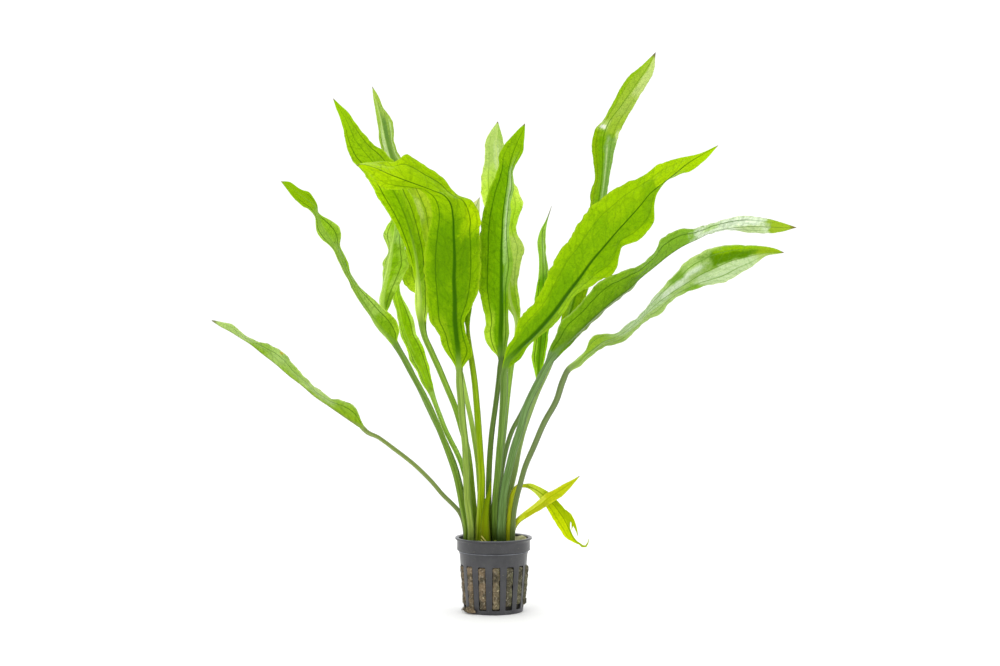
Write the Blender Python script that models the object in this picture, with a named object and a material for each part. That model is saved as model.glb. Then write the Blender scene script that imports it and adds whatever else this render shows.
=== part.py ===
"""A young amazon sword plant in its slotted net pot, as sold for an aquarium.

Lengths are millimetres until MM turns them into Blender's metres. The origin is the centre of the pot's
flat underside, +Z is up, and the plant's widest spread lies along X. The front is towards -Y.
"""

from math import atan2, cos, pi, radians, sin

import bmesh
import bpy
from mathutils import Vector

MM = 0.001
CREASE_ANGLE = radians(40)  # an edge sharper than this is drawn sharp

# Net pot: a standard 5 cm pot, 55 across its rim.
POT_HEIGHT = 53.0
RIM_RADIUS = 27.5
RIM_DEPTH = 2.6
RIM_ROUND = 0.6
COLLAR_RADIUS = 26.15
COLLAR_BOTTOM_Z = 43.9
STEP_Z = 43.2
BODY_TOP_RADIUS = 24.5
BODY_BOTTOM_RADIUS = 21.15
FOOT_CHAMFER = 0.6
WALL = 1.3
FLOOR = 1.4
POT_SEGMENTS = 56

# Slots in the pot's wall and floor.
SLOT_COUNT = 14
SLOT_WIDTH = 5.6
SLOT_BOTTOM_Z = 3.1
SLOT_TOP_Z = 33.9
SLOT_TURN = radians(4.9)  # from the front (-Y) towards +X to the middle of the nearest slot
SLOT_CORNER = 0.9
FLOOR_SLOT_WIDTH = 3.0
FLOOR_SLOT_INNER = 6.0
FLOOR_SLOT_OUTER = 16.0

# Mineral wool plug, which bulges into every slot, and the crown that sits in a dish in its top.
GAP = 0.35
WOOL_FOOT_Z = FLOOR + GAP
WOOL_CREST_Z = 49.9
WOOL_LEAN = 1.6  # how much higher the crest is at the right rim, and lower at the left
WOOL_EDGE_DROP = 1.0
WOOL_CREST_SHARE = 0.55  # place of the crest between the dish (0) and the pot's wall (1)
WOOL_SHRINK = 0.2
LOBE_PROUD = 0.3
LOBE_BEVEL = 0.8
LOBE_HALF_WIDTH = SLOT_WIDTH / 2 - GAP
LOBE_SHOULDER = 0.5
CROWN_CENTRE = (-2.6, -0.8)
CROWN_HALF_SIZE = (20.4, 12.6)
CROWN_FOOT_Z = 45.9
CROWN_TOP_Z = 50.0
CROWN_BEVEL = 1.0
CROWN_SEGMENTS = 28
DISH_HALF_SIZE = (21.4, 13.2)
DISH_Z = CROWN_FOOT_Z - 0.4

# Leaves: each is one loft of eight-sided rings, one ring for each row of its table.
LEAF_FOOT_Z = 50.3
STALK_FLATNESS = 0.85  # thickness of a stalk over its width
STALK_SHOULDER = 0.7  # place of a stalk's side points, as a share of its half width
BLADE_HALF_THICKNESS = 0.45
RIB_TIP_HALF_THICKNESS = 0.5
RIB_HALF_WIDTH_SHARE = 0.8  # the midrib's half width at the blade's foot, over the stalk's

# Every leaf: where it stands on the crown (x, y), the stalk's half width at its foot and at the blade,
# the stalk's middle line, then the blade's rows as (midrib, left edge, right edge), and the tip.
LEAVES = {
    "leaf_front_left": dict(
        base=(-16.2, -8.2), half_width=(2.1, 2.5), green="fresh",
        stalk=[
            (-16, -8.5, 59), (-17, -9, 68), (-18.5, -9, 79), (-19, -10, 89.5), (-19.5, -10.5, 105.5),
            (-20, -11.5, 119.5), (-22, -13, 137.5), (-23, -14, 151.5), (-24, -15, 164.5),
        ],
        blade=[
            ((-24.5, -16, 174.5), (-27, -16, 175), (-21.5, -16, 174.5)),
            ((-24.5, -17, 180), (-29.5, -17, 179.5), (-20, -17, 177)),
            ((-25, -18, 187), (-34.5, -17, 186.5), (-15, -16, 184)),
            ((-26, -21, 197.5), (-38, -18, 197), (-18.5, -20, 195.5)),
            ((-27, -24, 208), (-44.5, -21, 207.5), (-20.5, -22, 207)),
            ((-27, -28, 222), (-46.5, -24, 223), (-14, -23, 220)),
            ((-27.5, -32, 236), (-48, -27, 237), (-9.5, -27, 235.5)),
            ((-27, -36, 251), (-48.5, -32, 251.5), (-9, -30, 252)),
            ((-27.5, -40, 266.5), (-46, -37, 266), (-9.5, -34, 268)),
            ((-28, -44, 280), (-43, -42, 279.5), (-10, -37, 282)),
            ((-30, -46, 289), (-43.5, -45, 287.5), (-16, -38, 291.5)),
            ((-34.5, -47, 294), (-45.5, -47, 292.5), (-26, -39, 295.5)),
            ((-41, -48, 296.5), (-50.5, -49, 297.5), (-33.5, -40, 304.5)),
            ((-50.5, -49, 300), (-58, -51, 298), (-44, -41, 312.5)),
            ((-61.5, -50, 304), (-66, -53, 297), (-59.5, -42, 322)),
            ((-72, -52, 308), (-75.5, -55, 298), (-68.5, -44, 317)),
            ((-82.5, -54, 312.5), (-83.5, -57, 305.5), (-82, -48, 317)),
            ((-89.5, -56, 314), (-90.5, -57, 312), (-90, -54, 315)),
        ],
        tip=(-93.5, -57, 313.5),
    ),
    "leaf_twisted_left": dict(
        base=(-19.6, -3.0), half_width=(2.1, 1.9), green="fresh",
        stalk=[
            (-19, -3, 57), (-20.3, -3.5, 65.5), (-22.3, -4, 75), (-24.2, -4.5, 85.5), (-26.9, -5, 97.5),
            (-32.3, -6.5, 114), (-38.5, -7.5, 130), (-46.5, -9, 148.5), (-59, -11.5, 172), (-66, -13, 185),
        ],
        blade=[
            ((-70, -14, 191.5), (-72, -15, 190.5), (-68, -13.5, 193)),
            ((-74.5, -15, 196.5), (-76, -16, 195.5), (-67, -12, 201)),
            ((-79.5, -16, 202.5), (-81, -18, 201), (-70, -12, 209)),
            ((-86, -17.5, 211.5), (-87, -20, 210.5), (-76.5, -12, 215)),
            ((-92, -19, 221), (-93, -23, 219.5), (-85.5, -13, 223)),
            ((-97.5, -20, 231), (-99, -25, 229.5), (-94.5, -14, 231.5)),
            ((-102.5, -21, 241), (-104, -27, 239.5), (-102, -14, 242.5)),
            ((-106.5, -22, 249.5), (-108, -27, 248), (-104, -14, 251)),
            ((-111, -23, 259), (-113, -27, 258), (-108.5, -16, 261)),
            ((-116, -24, 266), (-119.5, -27, 264), (-108, -18, 270.5)),
            ((-120.5, -25, 273), (-124, -28, 270.5), (-113, -22, 277.5)),
            ((-123, -26, 280.5), (-124.5, -30, 279), (-122.5, -23, 283)),
            ((-125.5, -27, 287.5), (-128, -31, 284), (-124, -24, 289.5)),
            ((-131, -28, 292.5), (-133.5, -31, 288), (-128.5, -26, 297)),
            ((-137.5, -29, 297.5), (-139.5, -31, 293), (-135.5, -28, 300)),
            ((-143, -30, 301.5), (-144, -31, 299), (-142, -29, 304.5)),
        ],
        tip=(-148.5, -31, 305),
    ),
    "leaf_low_left": dict(
        base=(-20.2, 1.2), half_width=(1.5, 1.4), green="fresh",
        stalk=[
            (-20.4, 1.5, 56.5), (-21.6, 1.5, 63.5), (-24.6, 2, 70.5), (-30, 2.5, 76.5), (-35.8, 3, 82),
            (-44.5, 4, 92), (-57.5, 5.5, 104.5), (-70.5, 7, 114.5), (-83, 8.5, 123.5),
        ],
        blade=[
            ((-94.5, 10, 130), (-93.5, 9, 132), (-95, 10, 128.5)),
            ((-100, 10, 134), (-98.5, 5, 143), (-101.5, 14, 138)),
            ((-109, 11, 140), (-106, 2, 149.5), (-110.5, 19, 146.5)),
            ((-118.5, 11.5, 146.5), (-116, 0, 152), (-119.5, 22, 151)),
            ((-129, 12, 153.5), (-125.5, -1, 157.5), (-129.5, 25, 158)),
            ((-138.5, 13, 161.5), (-133, 0, 165), (-138.5, 27, 164.5)),
            ((-148, 14, 168.5), (-141.5, 1, 173), (-148, 28, 172)),
            ((-158, 15, 177), (-150.5, 2, 184.5), (-157.5, 28, 181.5)),
            ((-168, 16, 184.5), (-161.5, 4, 190), (-168, 28, 188)),
            ((-177, 17, 191.5), (-171.5, 7, 193.5), (-176.5, 27, 194)),
            ((-184.5, 18, 196), (-180.5, 10, 197.5), (-184, 25, 197.5)),
            ((-192, 19, 200.5), (-189, 14, 204.5), (-192, 23, 203)),
            ((-199, 20, 204), (-197.5, 18, 207), (-198.5, 22, 205)),
        ],
        tip=(-206, 21, 208.5),
    ),
    "leaf_tall_left": dict(
        base=(-13.4, -0.6), half_width=(1.9, 2.1), green="fresh",
        stalk=[
            (-13, -0.5, 56.5), (-13.5, -0.5, 67), (-14.5, 0, 78), (-15.5, 0, 88.5), (-17, 0.5, 103.5),
            (-19, 1, 116.5), (-22.5, 1, 129), (-27.5, 2, 145.5), (-34, 3.5, 161), (-39.5, 4.5, 174),
            (-45.5, 6, 187), (-50, 7, 197.5),
        ],
        blade=[
            ((-52.5, 8, 207), (-54.5, 8, 206.5), (-48.5, 8, 208)),
            ((-53, 8.5, 215.5), (-56.5, 9, 215.5), (-47, 11, 217)),
            ((-53, 9, 226.5), (-57, 10, 227.5), (-47.5, 13, 229)),
            ((-54.5, 9, 239), (-57, 10, 239), (-47.5, 14, 242)),
            ((-56, 8.5, 253), (-61, 9, 252.5), (-48.5, 14, 257)),
            ((-59.5, 8, 269), (-67, 8, 268.5), (-52, 14, 275.5)),
            ((-64, 7, 283.5), (-74, 7, 282), (-57, 13, 292.5)),
            ((-70, 6, 297), (-82.5, 5, 295), (-63.5, 12, 307)),
            ((-78, 4.5, 310.5), (-89.5, 3, 308), (-70.5, 11, 320)),
            ((-86.5, 3, 321.5), (-96, 1, 317), (-78.5, 9, 329.5)),
            ((-94.5, 1, 331), (-102.5, -1, 324.5), (-86, 6, 334.5)),
            ((-100, 0, 338.5), (-106, -2, 335.5), (-93, 4, 342)),
            ((-103, -2, 346), (-107.5, -3, 344.5), (-99.5, 1, 350)),
            ((-107, -4, 354), (-110, -5, 353.5), (-104, -2, 357)),
            ((-110.5, -5, 360), (-112.5, -5.5, 359.5), (-109, -4, 361.5)),
        ],
        tip=(-114.5, -6, 366.5),
    ),
    "leaf_rolled_back_left": dict(
        base=(-8.6, 3.8), half_width=(1.8, 1.6), green="fresh",
        stalk=[
            (-8.5, 4, 57.5), (-9, 4.5, 70.5), (-10, 5.5, 86), (-11.5, 7.5, 106), (-14, 9.5, 123),
            (-16.5, 11, 137), (-19.5, 13, 150.5), (-23.5, 16, 168.5), (-28.5, 19, 186.5), (-33.5, 22, 203),
        ],
        blade=[
            ((-38, 24.5, 216), (-39.5, 24.5, 215), (-36, 24.5, 216.5)),
            ((-41, 26, 224.5), (-50, 30, 224), (-38, 29, 226.5)),
            ((-44, 28, 233.5), (-61, 34, 230), (-39, 32, 236)),
            ((-47, 30, 244.5), (-67.5, 38, 239), (-39.5, 36, 247)),
            ((-50.5, 33, 257.5), (-66.5, 42, 254), (-42, 40, 260.5)),
            ((-54.5, 36, 270.5), (-65.5, 44, 268), (-44.5, 44, 275.5)),
            ((-60, 40, 287.5), (-67.5, 46, 284.5), (-45.5, 48, 292.5)),
            ((-67, 44, 303), (-72, 48, 301.5), (-53, 52, 309)),
            ((-73.5, 48, 318.5), (-78.5, 51, 318), (-64, 56, 323)),
            ((-77.5, 51, 328.5), (-82.5, 53, 331.5), (-71, 59, 331.5)),
            ((-80.5, 54, 339), (-86, 55, 343), (-75, 61, 342.5)),
            ((-83, 56, 349), (-86.5, 57, 350), (-76, 63, 353)),
            ((-85, 58, 359), (-88, 59, 359), (-78, 65, 361.5)),
            ((-87.5, 60, 368.5), (-89.5, 61, 368), (-83.5, 65, 369)),
            ((-90, 62, 377), (-91, 62, 376.5), (-87.5, 65, 378)),
        ],
        tip=(-92, 64, 385.5),
    ),
    "leaf_curled_back_left": dict(
        base=(-18.0, 5.2), half_width=(1.9, 1.7), green="fresh",
        stalk=[
            (-18.5, 5.5, 57), (-20.5, 6, 71.5), (-23.5, 6.5, 86.5), (-28, 8, 103), (-35.5, 9, 121),
            (-45, 11, 140.5), (-54.5, 13, 160.5), (-62.5, 15, 176.5), (-70.5, 17, 190.5), (-76, 18.5, 202.5),
        ],
        blade=[
            ((-79.5, 20, 211.5), (-81, 20, 211), (-78, 20, 212)),
            ((-82, 21, 221), (-83.5, 23, 222), (-76, 24, 219)),
            ((-81, 22, 231), (-82, 26, 232), (-71, 25, 230.5)),
            ((-78, 23, 242), (-81, 29, 244.5), (-65.5, 26, 241.5)),
            ((-76, 24, 252), (-81, 30, 251.5), (-62.5, 28, 249.5)),
            ((-74.5, 25, 261.5), (-77.5, 30, 260), (-65, 31, 258.5)),
            ((-73, 27, 271), (-81, 32, 272), (-67, 33, 269)),
            ((-72, 29, 281.5), (-75.5, 33, 282.5), (-65.5, 35, 279.5)),
            ((-70, 32, 292), (-73.5, 35, 293), (-65, 37, 291)),
            ((-68.5, 35, 301), (-71, 37, 302), (-65, 38, 300.5)),
        ],
        tip=(-67, 38, 309.5),
    ),
    "leaf_short_back_left": dict(
        base=(-12.6, 6.6), half_width=(1.8, 1.7), green="fresh",
        stalk=[
            (-13, 7, 57), (-14.5, 8, 70), (-17, 9, 83), (-20.5, 11, 95), (-23.5, 12.5, 105),
            (-27, 13.5, 113), (-31, 15, 120.5), (-35.5, 17, 129.5), (-39.5, 19.5, 139.5),
            (-43, 22.5, 148.5),
        ],
        blade=[
            ((-45.5, 25, 156), (-48, 25, 155), (-43.5, 25, 156.5)),
            ((-48, 27, 161.5), (-52.5, 28, 161.5), (-45, 29, 162.5)),
            ((-51.5, 30, 169.5), (-56.5, 33, 170.5), (-47, 33, 170.5)),
            ((-55, 34, 178.5), (-62, 38, 179), (-49.5, 38, 180)),
            ((-59.5, 38, 187.5), (-64.5, 43, 187), (-53, 41, 190)),
            ((-63.5, 42, 196), (-68.5, 47, 195.5), (-58, 45, 199)),
            ((-67, 46, 205), (-71, 50, 205), (-59.5, 49, 208)),
            ((-69.5, 50, 215.5), (-73, 53, 215), (-64, 53, 217)),
            ((-72, 54, 226), (-76, 57, 225.5), (-69.5, 57, 227.5)),
            ((-73.5, 58, 236.5), (-77, 61, 236), (-71.5, 60, 237.5)),
            ((-75.5, 61, 246.5), (-77.5, 63, 246), (-73.5, 63, 247.5)),
        ],
        tip=(-76.5, 64, 254),
    ),
    "leaf_hidden_centre": dict(
        base=(-10.2, -4.6), half_width=(2.8, 1.8), green="fresh",
        stalk=[
            (-10, -4.5, 58.5), (-9.2, -5, 71.5), (-8.8, -5, 84), (-8.6, -5, 95.5), (-9.3, -5, 107),
            (-10.2, -5, 121.5), (-11.2, -5, 137), (-12.2, -5.5, 150), (-13.3, -5.5, 162.5), (-15.5, -6, 178.5),
            (-17.5, -6, 190.5),
        ],
        blade=[
            ((-18.5, -5.5, 204), (-20, -5.5, 204), (-17, -5.5, 204)),
            ((-19.5, -5, 215.5), (-24, -5, 215), (-15.5, -5, 216)),
            ((-21, -4, 228.5), (-29, -3, 227.5), (-13.5, -3, 229)),
            ((-21.5, -3, 242.5), (-32, -1, 242), (-12, -1, 243.5)),
            ((-21, -2, 257), (-32, 0, 257), (-11.5, 1, 258)),
            ((-20, -1, 270), (-28.5, 1, 271.5), (-11, 2, 270)),
            ((-17, 0, 281), (-22.5, 1, 284), (-10.5, 2, 279.5)),
            ((-13, 1, 289), (-16, 1, 291), (-10, 2, 288)),
        ],
        tip=(-10, 2, 296.5),
    ),
    "leaf_dark_centre": dict(
        base=(-3.6, -2.2), half_width=(2.1, 1.6), green="dark",
        stalk=[
            (-3.5, -2.5, 58), (-3.5, -3, 72.5), (-3.5, -3.5, 88.5), (-2.7, -4.5, 110.5), (-1, -5.5, 130),
            (1.2, -6, 145.5), (3.2, -7, 161.5), (4.4, -8, 174),
        ],
        blade=[
            ((4.5, -8.5, 182), (3, -8.5, 182), (8.5, -8.5, 182.5)),
            ((5, -9, 189), (-3, -7, 188.5), (9.5, -8, 188.5)),
            ((5, -10, 199), (-6.5, -7, 198.5), (11, -9, 198.5)),
            ((5.5, -11, 210), (-5.5, -9, 208.5), (10.5, -9, 210)),
            ((5.5, -12, 219.5), (-8.5, -12, 220.5), (10.5, -9, 220.5)),
            ((5.5, -14, 234), (-10.5, -15, 234), (10.5, -10, 233)),
            ((5.5, -16, 246.5), (-10, -17, 247), (14, -12, 247.5)),
            ((5.5, -17, 258), (-9.5, -18, 260.5), (12.5, -13, 257)),
            ((6, -19, 270.5), (-9, -19, 274.5), (11, -14, 268)),
            ((6.5, -21, 282), (-6.5, -20, 287), (11.5, -15, 280.5)),
            ((8, -23, 293.5), (-3, -21, 300), (12.5, -17, 293)),
            ((9.5, -25, 303), (0.5, -22, 307.5), (14.5, -20, 301.5)),
            ((10.5, -27, 312.5), (4, -24, 316.5), (13.5, -23, 312.5)),
            ((12.5, -29, 321), (3.5, -25, 322.5), (17, -26, 319)),
            ((15, -31, 328), (8, -27, 331), (20.5, -29, 325.5)),
            ((18, -33, 335), (13, -30, 336.5), (21.5, -32, 333.5)),
            ((20.5, -34, 340), (17.5, -33, 341), (22, -34, 340)),
        ],
        tip=(22, -35, 345),
    ),
    "leaf_pale_back": dict(
        base=(-1.2, 5.6), half_width=(1.9, 1.8), green="fresh",
        stalk=[
            (-1, 6, 57), (0.5, 6.5, 71.5), (2.5, 7.5, 87.5), (5.3, 10, 109.5), (7.6, 12, 129),
            (9.2, 14, 144.5), (11, 16.5, 160.5), (13, 19, 175),
        ],
        blade=[
            ((15, 21, 186.5), (13.5, 21, 186.5), (17, 21, 186.5)),
            ((16.5, 23, 197), (15, 24, 197), (18.5, 24, 197)),
            ((16.5, 25, 209.5), (15, 28, 209.5), (19.5, 27, 211)),
            ((12.5, 28, 222), (8, 33, 221), (19, 31, 222.5)),
            ((11, 31, 235), (2.5, 37, 234), (17.5, 35, 235.5)),
            ((10, 34, 250), (-0.5, 41, 249), (20, 39, 251.5)),
            ((9, 37, 262.5), (-2, 44, 261.5), (22.5, 42, 261.5)),
            ((8, 41, 277), (-3.5, 47, 277.5), (16.5, 46, 276)),
            ((7, 45, 292), (-7, 50, 292.5), (21.5, 50, 294.5)),
            ((5.5, 48, 305.5), (-9.5, 53, 305.5), (19, 54, 303.5)),
            ((3.5, 52, 319.5), (-8.5, 56, 320), (13.5, 57, 317)),
            ((2, 55, 332), (-6.5, 58, 333), (10.5, 60, 331)),
            ((1.5, 58, 341), (-6.5, 60, 342.5), (7.5, 62, 341.5)),
            ((2.5, 61, 350.5), (-2, 62, 352), (5.5, 63, 350)),
        ],
        tip=(3, 64, 359),
    ),
    "leaf_slender_back_right": dict(
        base=(3.6, 2.4), half_width=(1.6, 1.5), green="fresh",
        stalk=[
            (4, 2.5, 57.5), (4, 3, 72), (4.4, 3, 88.5), (6.6, 4, 104), (9.5, 5, 117), (13.5, 6.5, 129),
            (19, 8, 139), (24.4, 9, 149.5), (29, 10, 157),
        ],
        blade=[
            ((32, 11, 163), (30.5, 11, 163.5), (33.5, 11, 162)),
            ((32.5, 12, 171), (29.5, 12, 171), (35, 13, 170)),
            ((33, 13, 180.5), (27.5, 14, 181), (37, 15, 179.5)),
            ((34, 14, 192), (29, 16, 192), (39, 17, 192)),
            ((35, 16, 205), (29.5, 18, 205), (41, 20, 205)),
            ((35.5, 18, 219.5), (29.5, 20, 219), (42, 22, 219.5)),
            ((36, 20, 232), (31, 22, 231), (41.5, 25, 232)),
            ((36, 23, 244.5), (33, 24, 243.5), (40, 28, 245.5)),
            ((36, 26, 256), (33, 27, 255.5), (38.5, 30, 257)),
            ((35.5, 29, 266.5), (32, 29, 266), (38, 33, 267)),
            ((36, 31, 275), (34.5, 31, 275), (38.5, 34, 275)),
            ((38.5, 33, 281), (38, 33, 281.5), (39.5, 34, 281)),
        ],
        tip=(43, 36, 293.5),
    ),
    "leaf_tallest_right": dict(
        base=(9.6, 1.6), half_width=(1.9, 1.9), green="fresh",
        stalk=[
            (10, 2, 57.5), (10, 2, 68.5), (11, 3, 77.5), (12.5, 4, 87.5), (15.5, 5.5, 100.5),
            (18.2, 7, 115.5), (21.7, 9.5, 129), (26.4, 12, 142.5), (32, 14.5, 157), (38.4, 17, 170.5),
        ],
        blade=[
            ((44, 20, 183), (42, 20, 184), (46, 20, 182.5)),
            ((48.5, 22, 194), (45.5, 24, 194.5), (53, 24, 193)),
            ((53.5, 25, 206.5), (49.5, 29, 208), (59.5, 28, 205.5)),
            ((58, 28, 219.5), (52.5, 34, 222), (65.5, 31, 219)),
            ((62, 32, 234.5), (55, 38, 237), (70.5, 35, 234)),
            ((66.5, 37, 251.5), (59, 43, 253.5), (75.5, 39, 251)),
            ((71, 42, 269), (65.5, 48, 270.5), (79.5, 44, 267.5)),
            ((76, 48, 286.5), (72, 53, 289.5), (82.5, 49, 285.5)),
            ((79, 52, 301.5), (72.5, 57, 303), (84.5, 53, 301)),
            ((81, 56, 314.5), (76, 60, 315), (86.5, 56, 314)),
            ((82, 60, 328), (75, 63, 329), (89, 59, 327)),
            ((82, 63, 338.5), (74, 65, 341), (91.5, 62, 338.5)),
            ((83.5, 66, 349.5), (76.5, 67, 353), (94.5, 65, 349)),
            ((87.5, 69, 359.5), (82.5, 68, 360), (99, 69, 358.5)),
            ((95, 72, 369.5), (89.5, 71, 372.5), (105, 73, 369)),
            ((103, 75, 381), (96.5, 73, 386), (112.5, 77, 382)),
            ((111.5, 78, 393.5), (104, 76, 396), (118.5, 80, 391.5)),
            ((118, 80, 403.5), (113.5, 79, 404), (122.5, 82, 400.5)),
        ],
        tip=(124, 83, 414.5),
    ),
    "leaf_big_right": dict(
        base=(1.4, -5.0), half_width=(2.3, 2.7), green="fresh",
        stalk=[
            (1, -5, 58.5), (1, -6, 69.5), (1.5, -7, 80), (3, -8.5, 96.5), (4.5, -10, 114.5),
            (6, -12, 130.5), (7, -14, 146), (7.5, -16, 160), (7.5, -17.5, 168.5),
        ],
        blade=[
            ((8.5, -18.5, 174.5), (6, -18.5, 175), (10.5, -18.5, 173.5)),
            ((10, -19.5, 179.5), (7.5, -18, 181.5), (15.5, -17, 178)),
            ((14.5, -21, 184.5), (10, -19, 189.5), (19.5, -18, 181.5)),
            ((20, -23, 190), (14.5, -20, 196.5), (23.5, -20, 188.5)),
            ((27, -25, 196.5), (18, -20, 208.5), (30.5, -22, 195)),
            ((36, -27, 206), (24.5, -21, 215.5), (42, -23, 204.5)),
            ((44.5, -29, 216.5), (31.5, -22, 224.5), (49, -24, 212.5)),
            ((52, -31, 227), (38, -23, 238.5), (56, -26, 224.5)),
            ((60.5, -33, 238), (44.5, -24, 253.5), (65, -26, 230)),
            ((68.5, -35, 249), (53, -25, 264), (74.5, -27, 236)),
            ((77, -37, 259), (59.5, -26, 275.5), (85.5, -28, 242.5)),
            ((85.5, -39, 269), (68.5, -28, 287), (89, -32, 258)),
            ((94.5, -41, 279), (78.5, -31, 295), (102, -33, 264.5)),
            ((102, -43, 287.5), (89.5, -34, 302), (111, -37, 276)),
            ((108.5, -45, 295.5), (102, -38, 307), (112, -43, 292)),
            ((116, -47, 301.5), (111.5, -41, 313.5), (118.5, -45.5, 303)),
            ((125, -50, 308.5), (122, -45, 318), (128, -46, 308)),
            ((133, -53, 315), (131.5, -50, 320), (137, -50, 311)),
            ((142, -56, 320.5), (140.5, -55, 321.5), (146, -55, 318.5)),
        ],
        tip=(153.5, -60, 327),
    ),
    "leaf_arching_right": dict(
        base=(5.6, -9.4), half_width=(2.8, 2.3), green="fresh",
        stalk=[
            (5.5, -9.5, 59), (6, -9.5, 68.5), (6.5, -10, 77.5), (8, -10.5, 89.5), (11, -11, 102.5),
            (14.5, -11.5, 117), (19, -12, 131), (22.5, -13, 144.5), (28.5, -13, 158), (34, -13.5, 168.5),
            (39, -14, 178),
        ],
        blade=[
            ((44, -14, 185), (39, -14, 186.5), (47, -14, 183)),
            ((52, -14, 192.5), (43.5, -16, 196.5), (54.5, -11, 190.5)),
            ((60, -14, 200), (47.5, -19, 207), (62.5, -7, 198.5)),
            ((68.5, -14, 208), (57.5, -22, 216), (70.5, -4, 207)),
            ((77, -14, 215.5), (65.5, -24, 226), (79.5, -2, 215)),
            ((86, -13.5, 223), (76.5, -25, 236.5), (89, 0, 223.5)),
            ((95.5, -13, 230), (91, -25, 243), (99.5, 1, 231.5)),
            ((104.5, -12, 238.5), (103, -24, 247), (108, 3, 241.5)),
            ((114.5, -11, 246.5), (112, -23, 255.5), (117.5, 5, 250)),
            ((124.5, -10, 254.5), (119.5, -21, 266.5), (128, 6, 259)),
            ((134.5, -9, 261), (131.5, -19, 272.5), (137.5, 7, 264.5)),
            ((145, -8, 266), (144, -17, 273.5), (147.5, 8, 270)),
            ((156.5, -7, 271.5), (156, -14, 277.5), (159, 6, 272)),
            ((169.5, -6, 274), (169, -10, 281), (170.5, 2, 273)),
            ((181.5, -5, 275), (180.5, -8, 282.5), (182.5, 1, 271.5)),
            ((193, -4, 275), (193, -6, 281), (194, 1, 270.5)),
            ((205, -3, 274.5), (204.5, -4, 278.5), (205.5, 0, 271.5)),
        ],
        tip=(217, -2, 274.5),
    ),
    "leaf_low_right": dict(
        base=(13.4, -7.6), half_width=(1.6, 2.1), green="fresh",
        stalk=[
            (13.7, -8, 59), (14.5, -8.5, 71), (16.2, -9.5, 80.5), (19.1, -10, 92), (22.5, -11, 104),
            (28.5, -11.5, 118), (36, -12.5, 135.5), (44.5, -13.5, 151), (49.5, -14.5, 166),
        ],
        blade=[
            ((53, -15, 173.5), (51.5, -15, 174.5), (54.5, -15, 171.5)),
            ((59.5, -15.5, 178), (58.5, -16, 180.5), (61.5, -14.5, 175.5)),
            ((65, -16.5, 184), (65, -18, 187), (66.5, -13, 180.5)),
            ((70, -18, 187.5), (67.5, -22, 194), (73, -11, 186)),
            ((77, -20, 193), (74.5, -26, 198.5), (79.5, -10, 189.5)),
            ((86, -22, 196.5), (84.5, -30, 199), (89.5, -11, 192)),
            ((95, -24, 202.5), (92.5, -33, 204.5), (99, -12, 199.5)),
            ((105, -27, 211.5), (102, -36, 212.5), (108.5, -15, 208)),
            ((113.5, -30, 219.5), (110, -38, 222), (118.5, -18, 214)),
            ((123, -33, 226.5), (117, -40, 231), (127.5, -22, 223.5)),
            ((133, -36, 233), (125.5, -42, 240), (139, -26, 229.5)),
            ((143.5, -39, 239.5), (135.5, -44, 250.5), (150.5, -31, 232.5)),
            ((154, -42, 244.5), (147.5, -46, 256.5), (162.5, -36, 235.5)),
            ((164.5, -45, 249), (159.5, -48, 259.5), (172, -40, 241)),
            ((174.5, -48, 251.5), (173, -50, 259.5), (178.5, -45, 245)),
            ((184.5, -51, 253.5), (185, -52, 258.5), (187.5, -49, 252)),
            ((192.5, -53, 254), (193, -53, 257), (193.5, -52, 253)),
        ],
        tip=(199, -55, 254),
    ),
    "leaf_small_straight": dict(
        base=(13.4, -2.0), half_width=(1.7, 1.9), green="yellow",
        stalk=[
            (13.6, -2.5, 57.5), (15.2, -3.5, 62), (18.5, -5, 66),
        ],
        blade=[
            ((22, -6.5, 69), (21, -6.5, 71), (23.5, -6.5, 67)),
            ((27.5, -8.5, 73), (26, -9, 75), (29, -8, 70.5)),
            ((33.5, -11, 77.5), (32, -12, 80.5), (35.5, -10, 74.5)),
            ((39.5, -13, 82.5), (37.5, -14, 85.5), (41.5, -12, 78.5)),
            ((45.5, -15, 86.5), (43.5, -16, 88.5), (48, -14, 83)),
            ((51, -17, 90.5), (49, -18, 92), (52.5, -16, 87.5)),
            ((55.5, -19, 94), (54.5, -19.5, 95), (57, -18.5, 93)),
        ],
        tip=(61, -21, 98.5),
    ),
    "leaf_small_torn": dict(
        base=(10.5, -5.4), half_width=(2.0, 1.3), green="yellow",
        stalk=[
            (10.7, -5.8, 58.5), (11.4, -5.8, 69), (12.3, -5.2, 77.5), (14.4, -4.2, 86), (17.5, -3, 89.5),
        ],
        blade=[
            ((21.5, -3, 90), (21.2, -3, 91), (21.9, -3, 88.5)),
            ((26, -3.5, 89), (26.5, -4, 91.5), (25.5, -3, 87.5)),
            ((31.5, -4, 86.5), (33, -5, 89), (30.5, -3.5, 83.5)),
            ((36.5, -4.5, 82.5), (39.5, -6, 85.5), (34, -4, 79.5)),
            ((42, -5, 77.5), (45, -6.5, 80), (38, -4.5, 74)),
            ((46.5, -6, 72), (50.5, -7, 74), (41.5, -5.5, 68)),
            ((50.5, -7, 66), (55, -7.5, 69), (44.5, -6, 63)),
            ((53.5, -7.5, 60), (54.5, -8, 60.5), (48, -7, 58)),
            ((56, -8, 54.5), (56.5, -8.5, 55), (51.5, -8, 53)),
            ((58.5, -9, 50.5), (59, -9, 51.5), (57, -9, 50)),
        ],
        tip=(63.5, -9.5, 47.5),
    ),
    "young_shoot": dict(
        base=(-6.0, -10.4), half_width=(3.4, 1.0), green="yellow",
        stalk=[
            (-6, -10.5, 59), (-6, -10.5, 66), (-5.5, -10, 72.5), (-4.5, -10, 79.5), (-3, -9.5, 85),
        ],
        blade=[
            ((-2.5, -9, 89), (-3.5, -9, 89), (-1.5, -9, 88.5)),
            ((-2, -9, 92.5), (-2.5, -9, 92.5), (-1.5, -9, 92)),
        ],
        tip=(-2, -9, 95),
    ),
}


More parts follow.
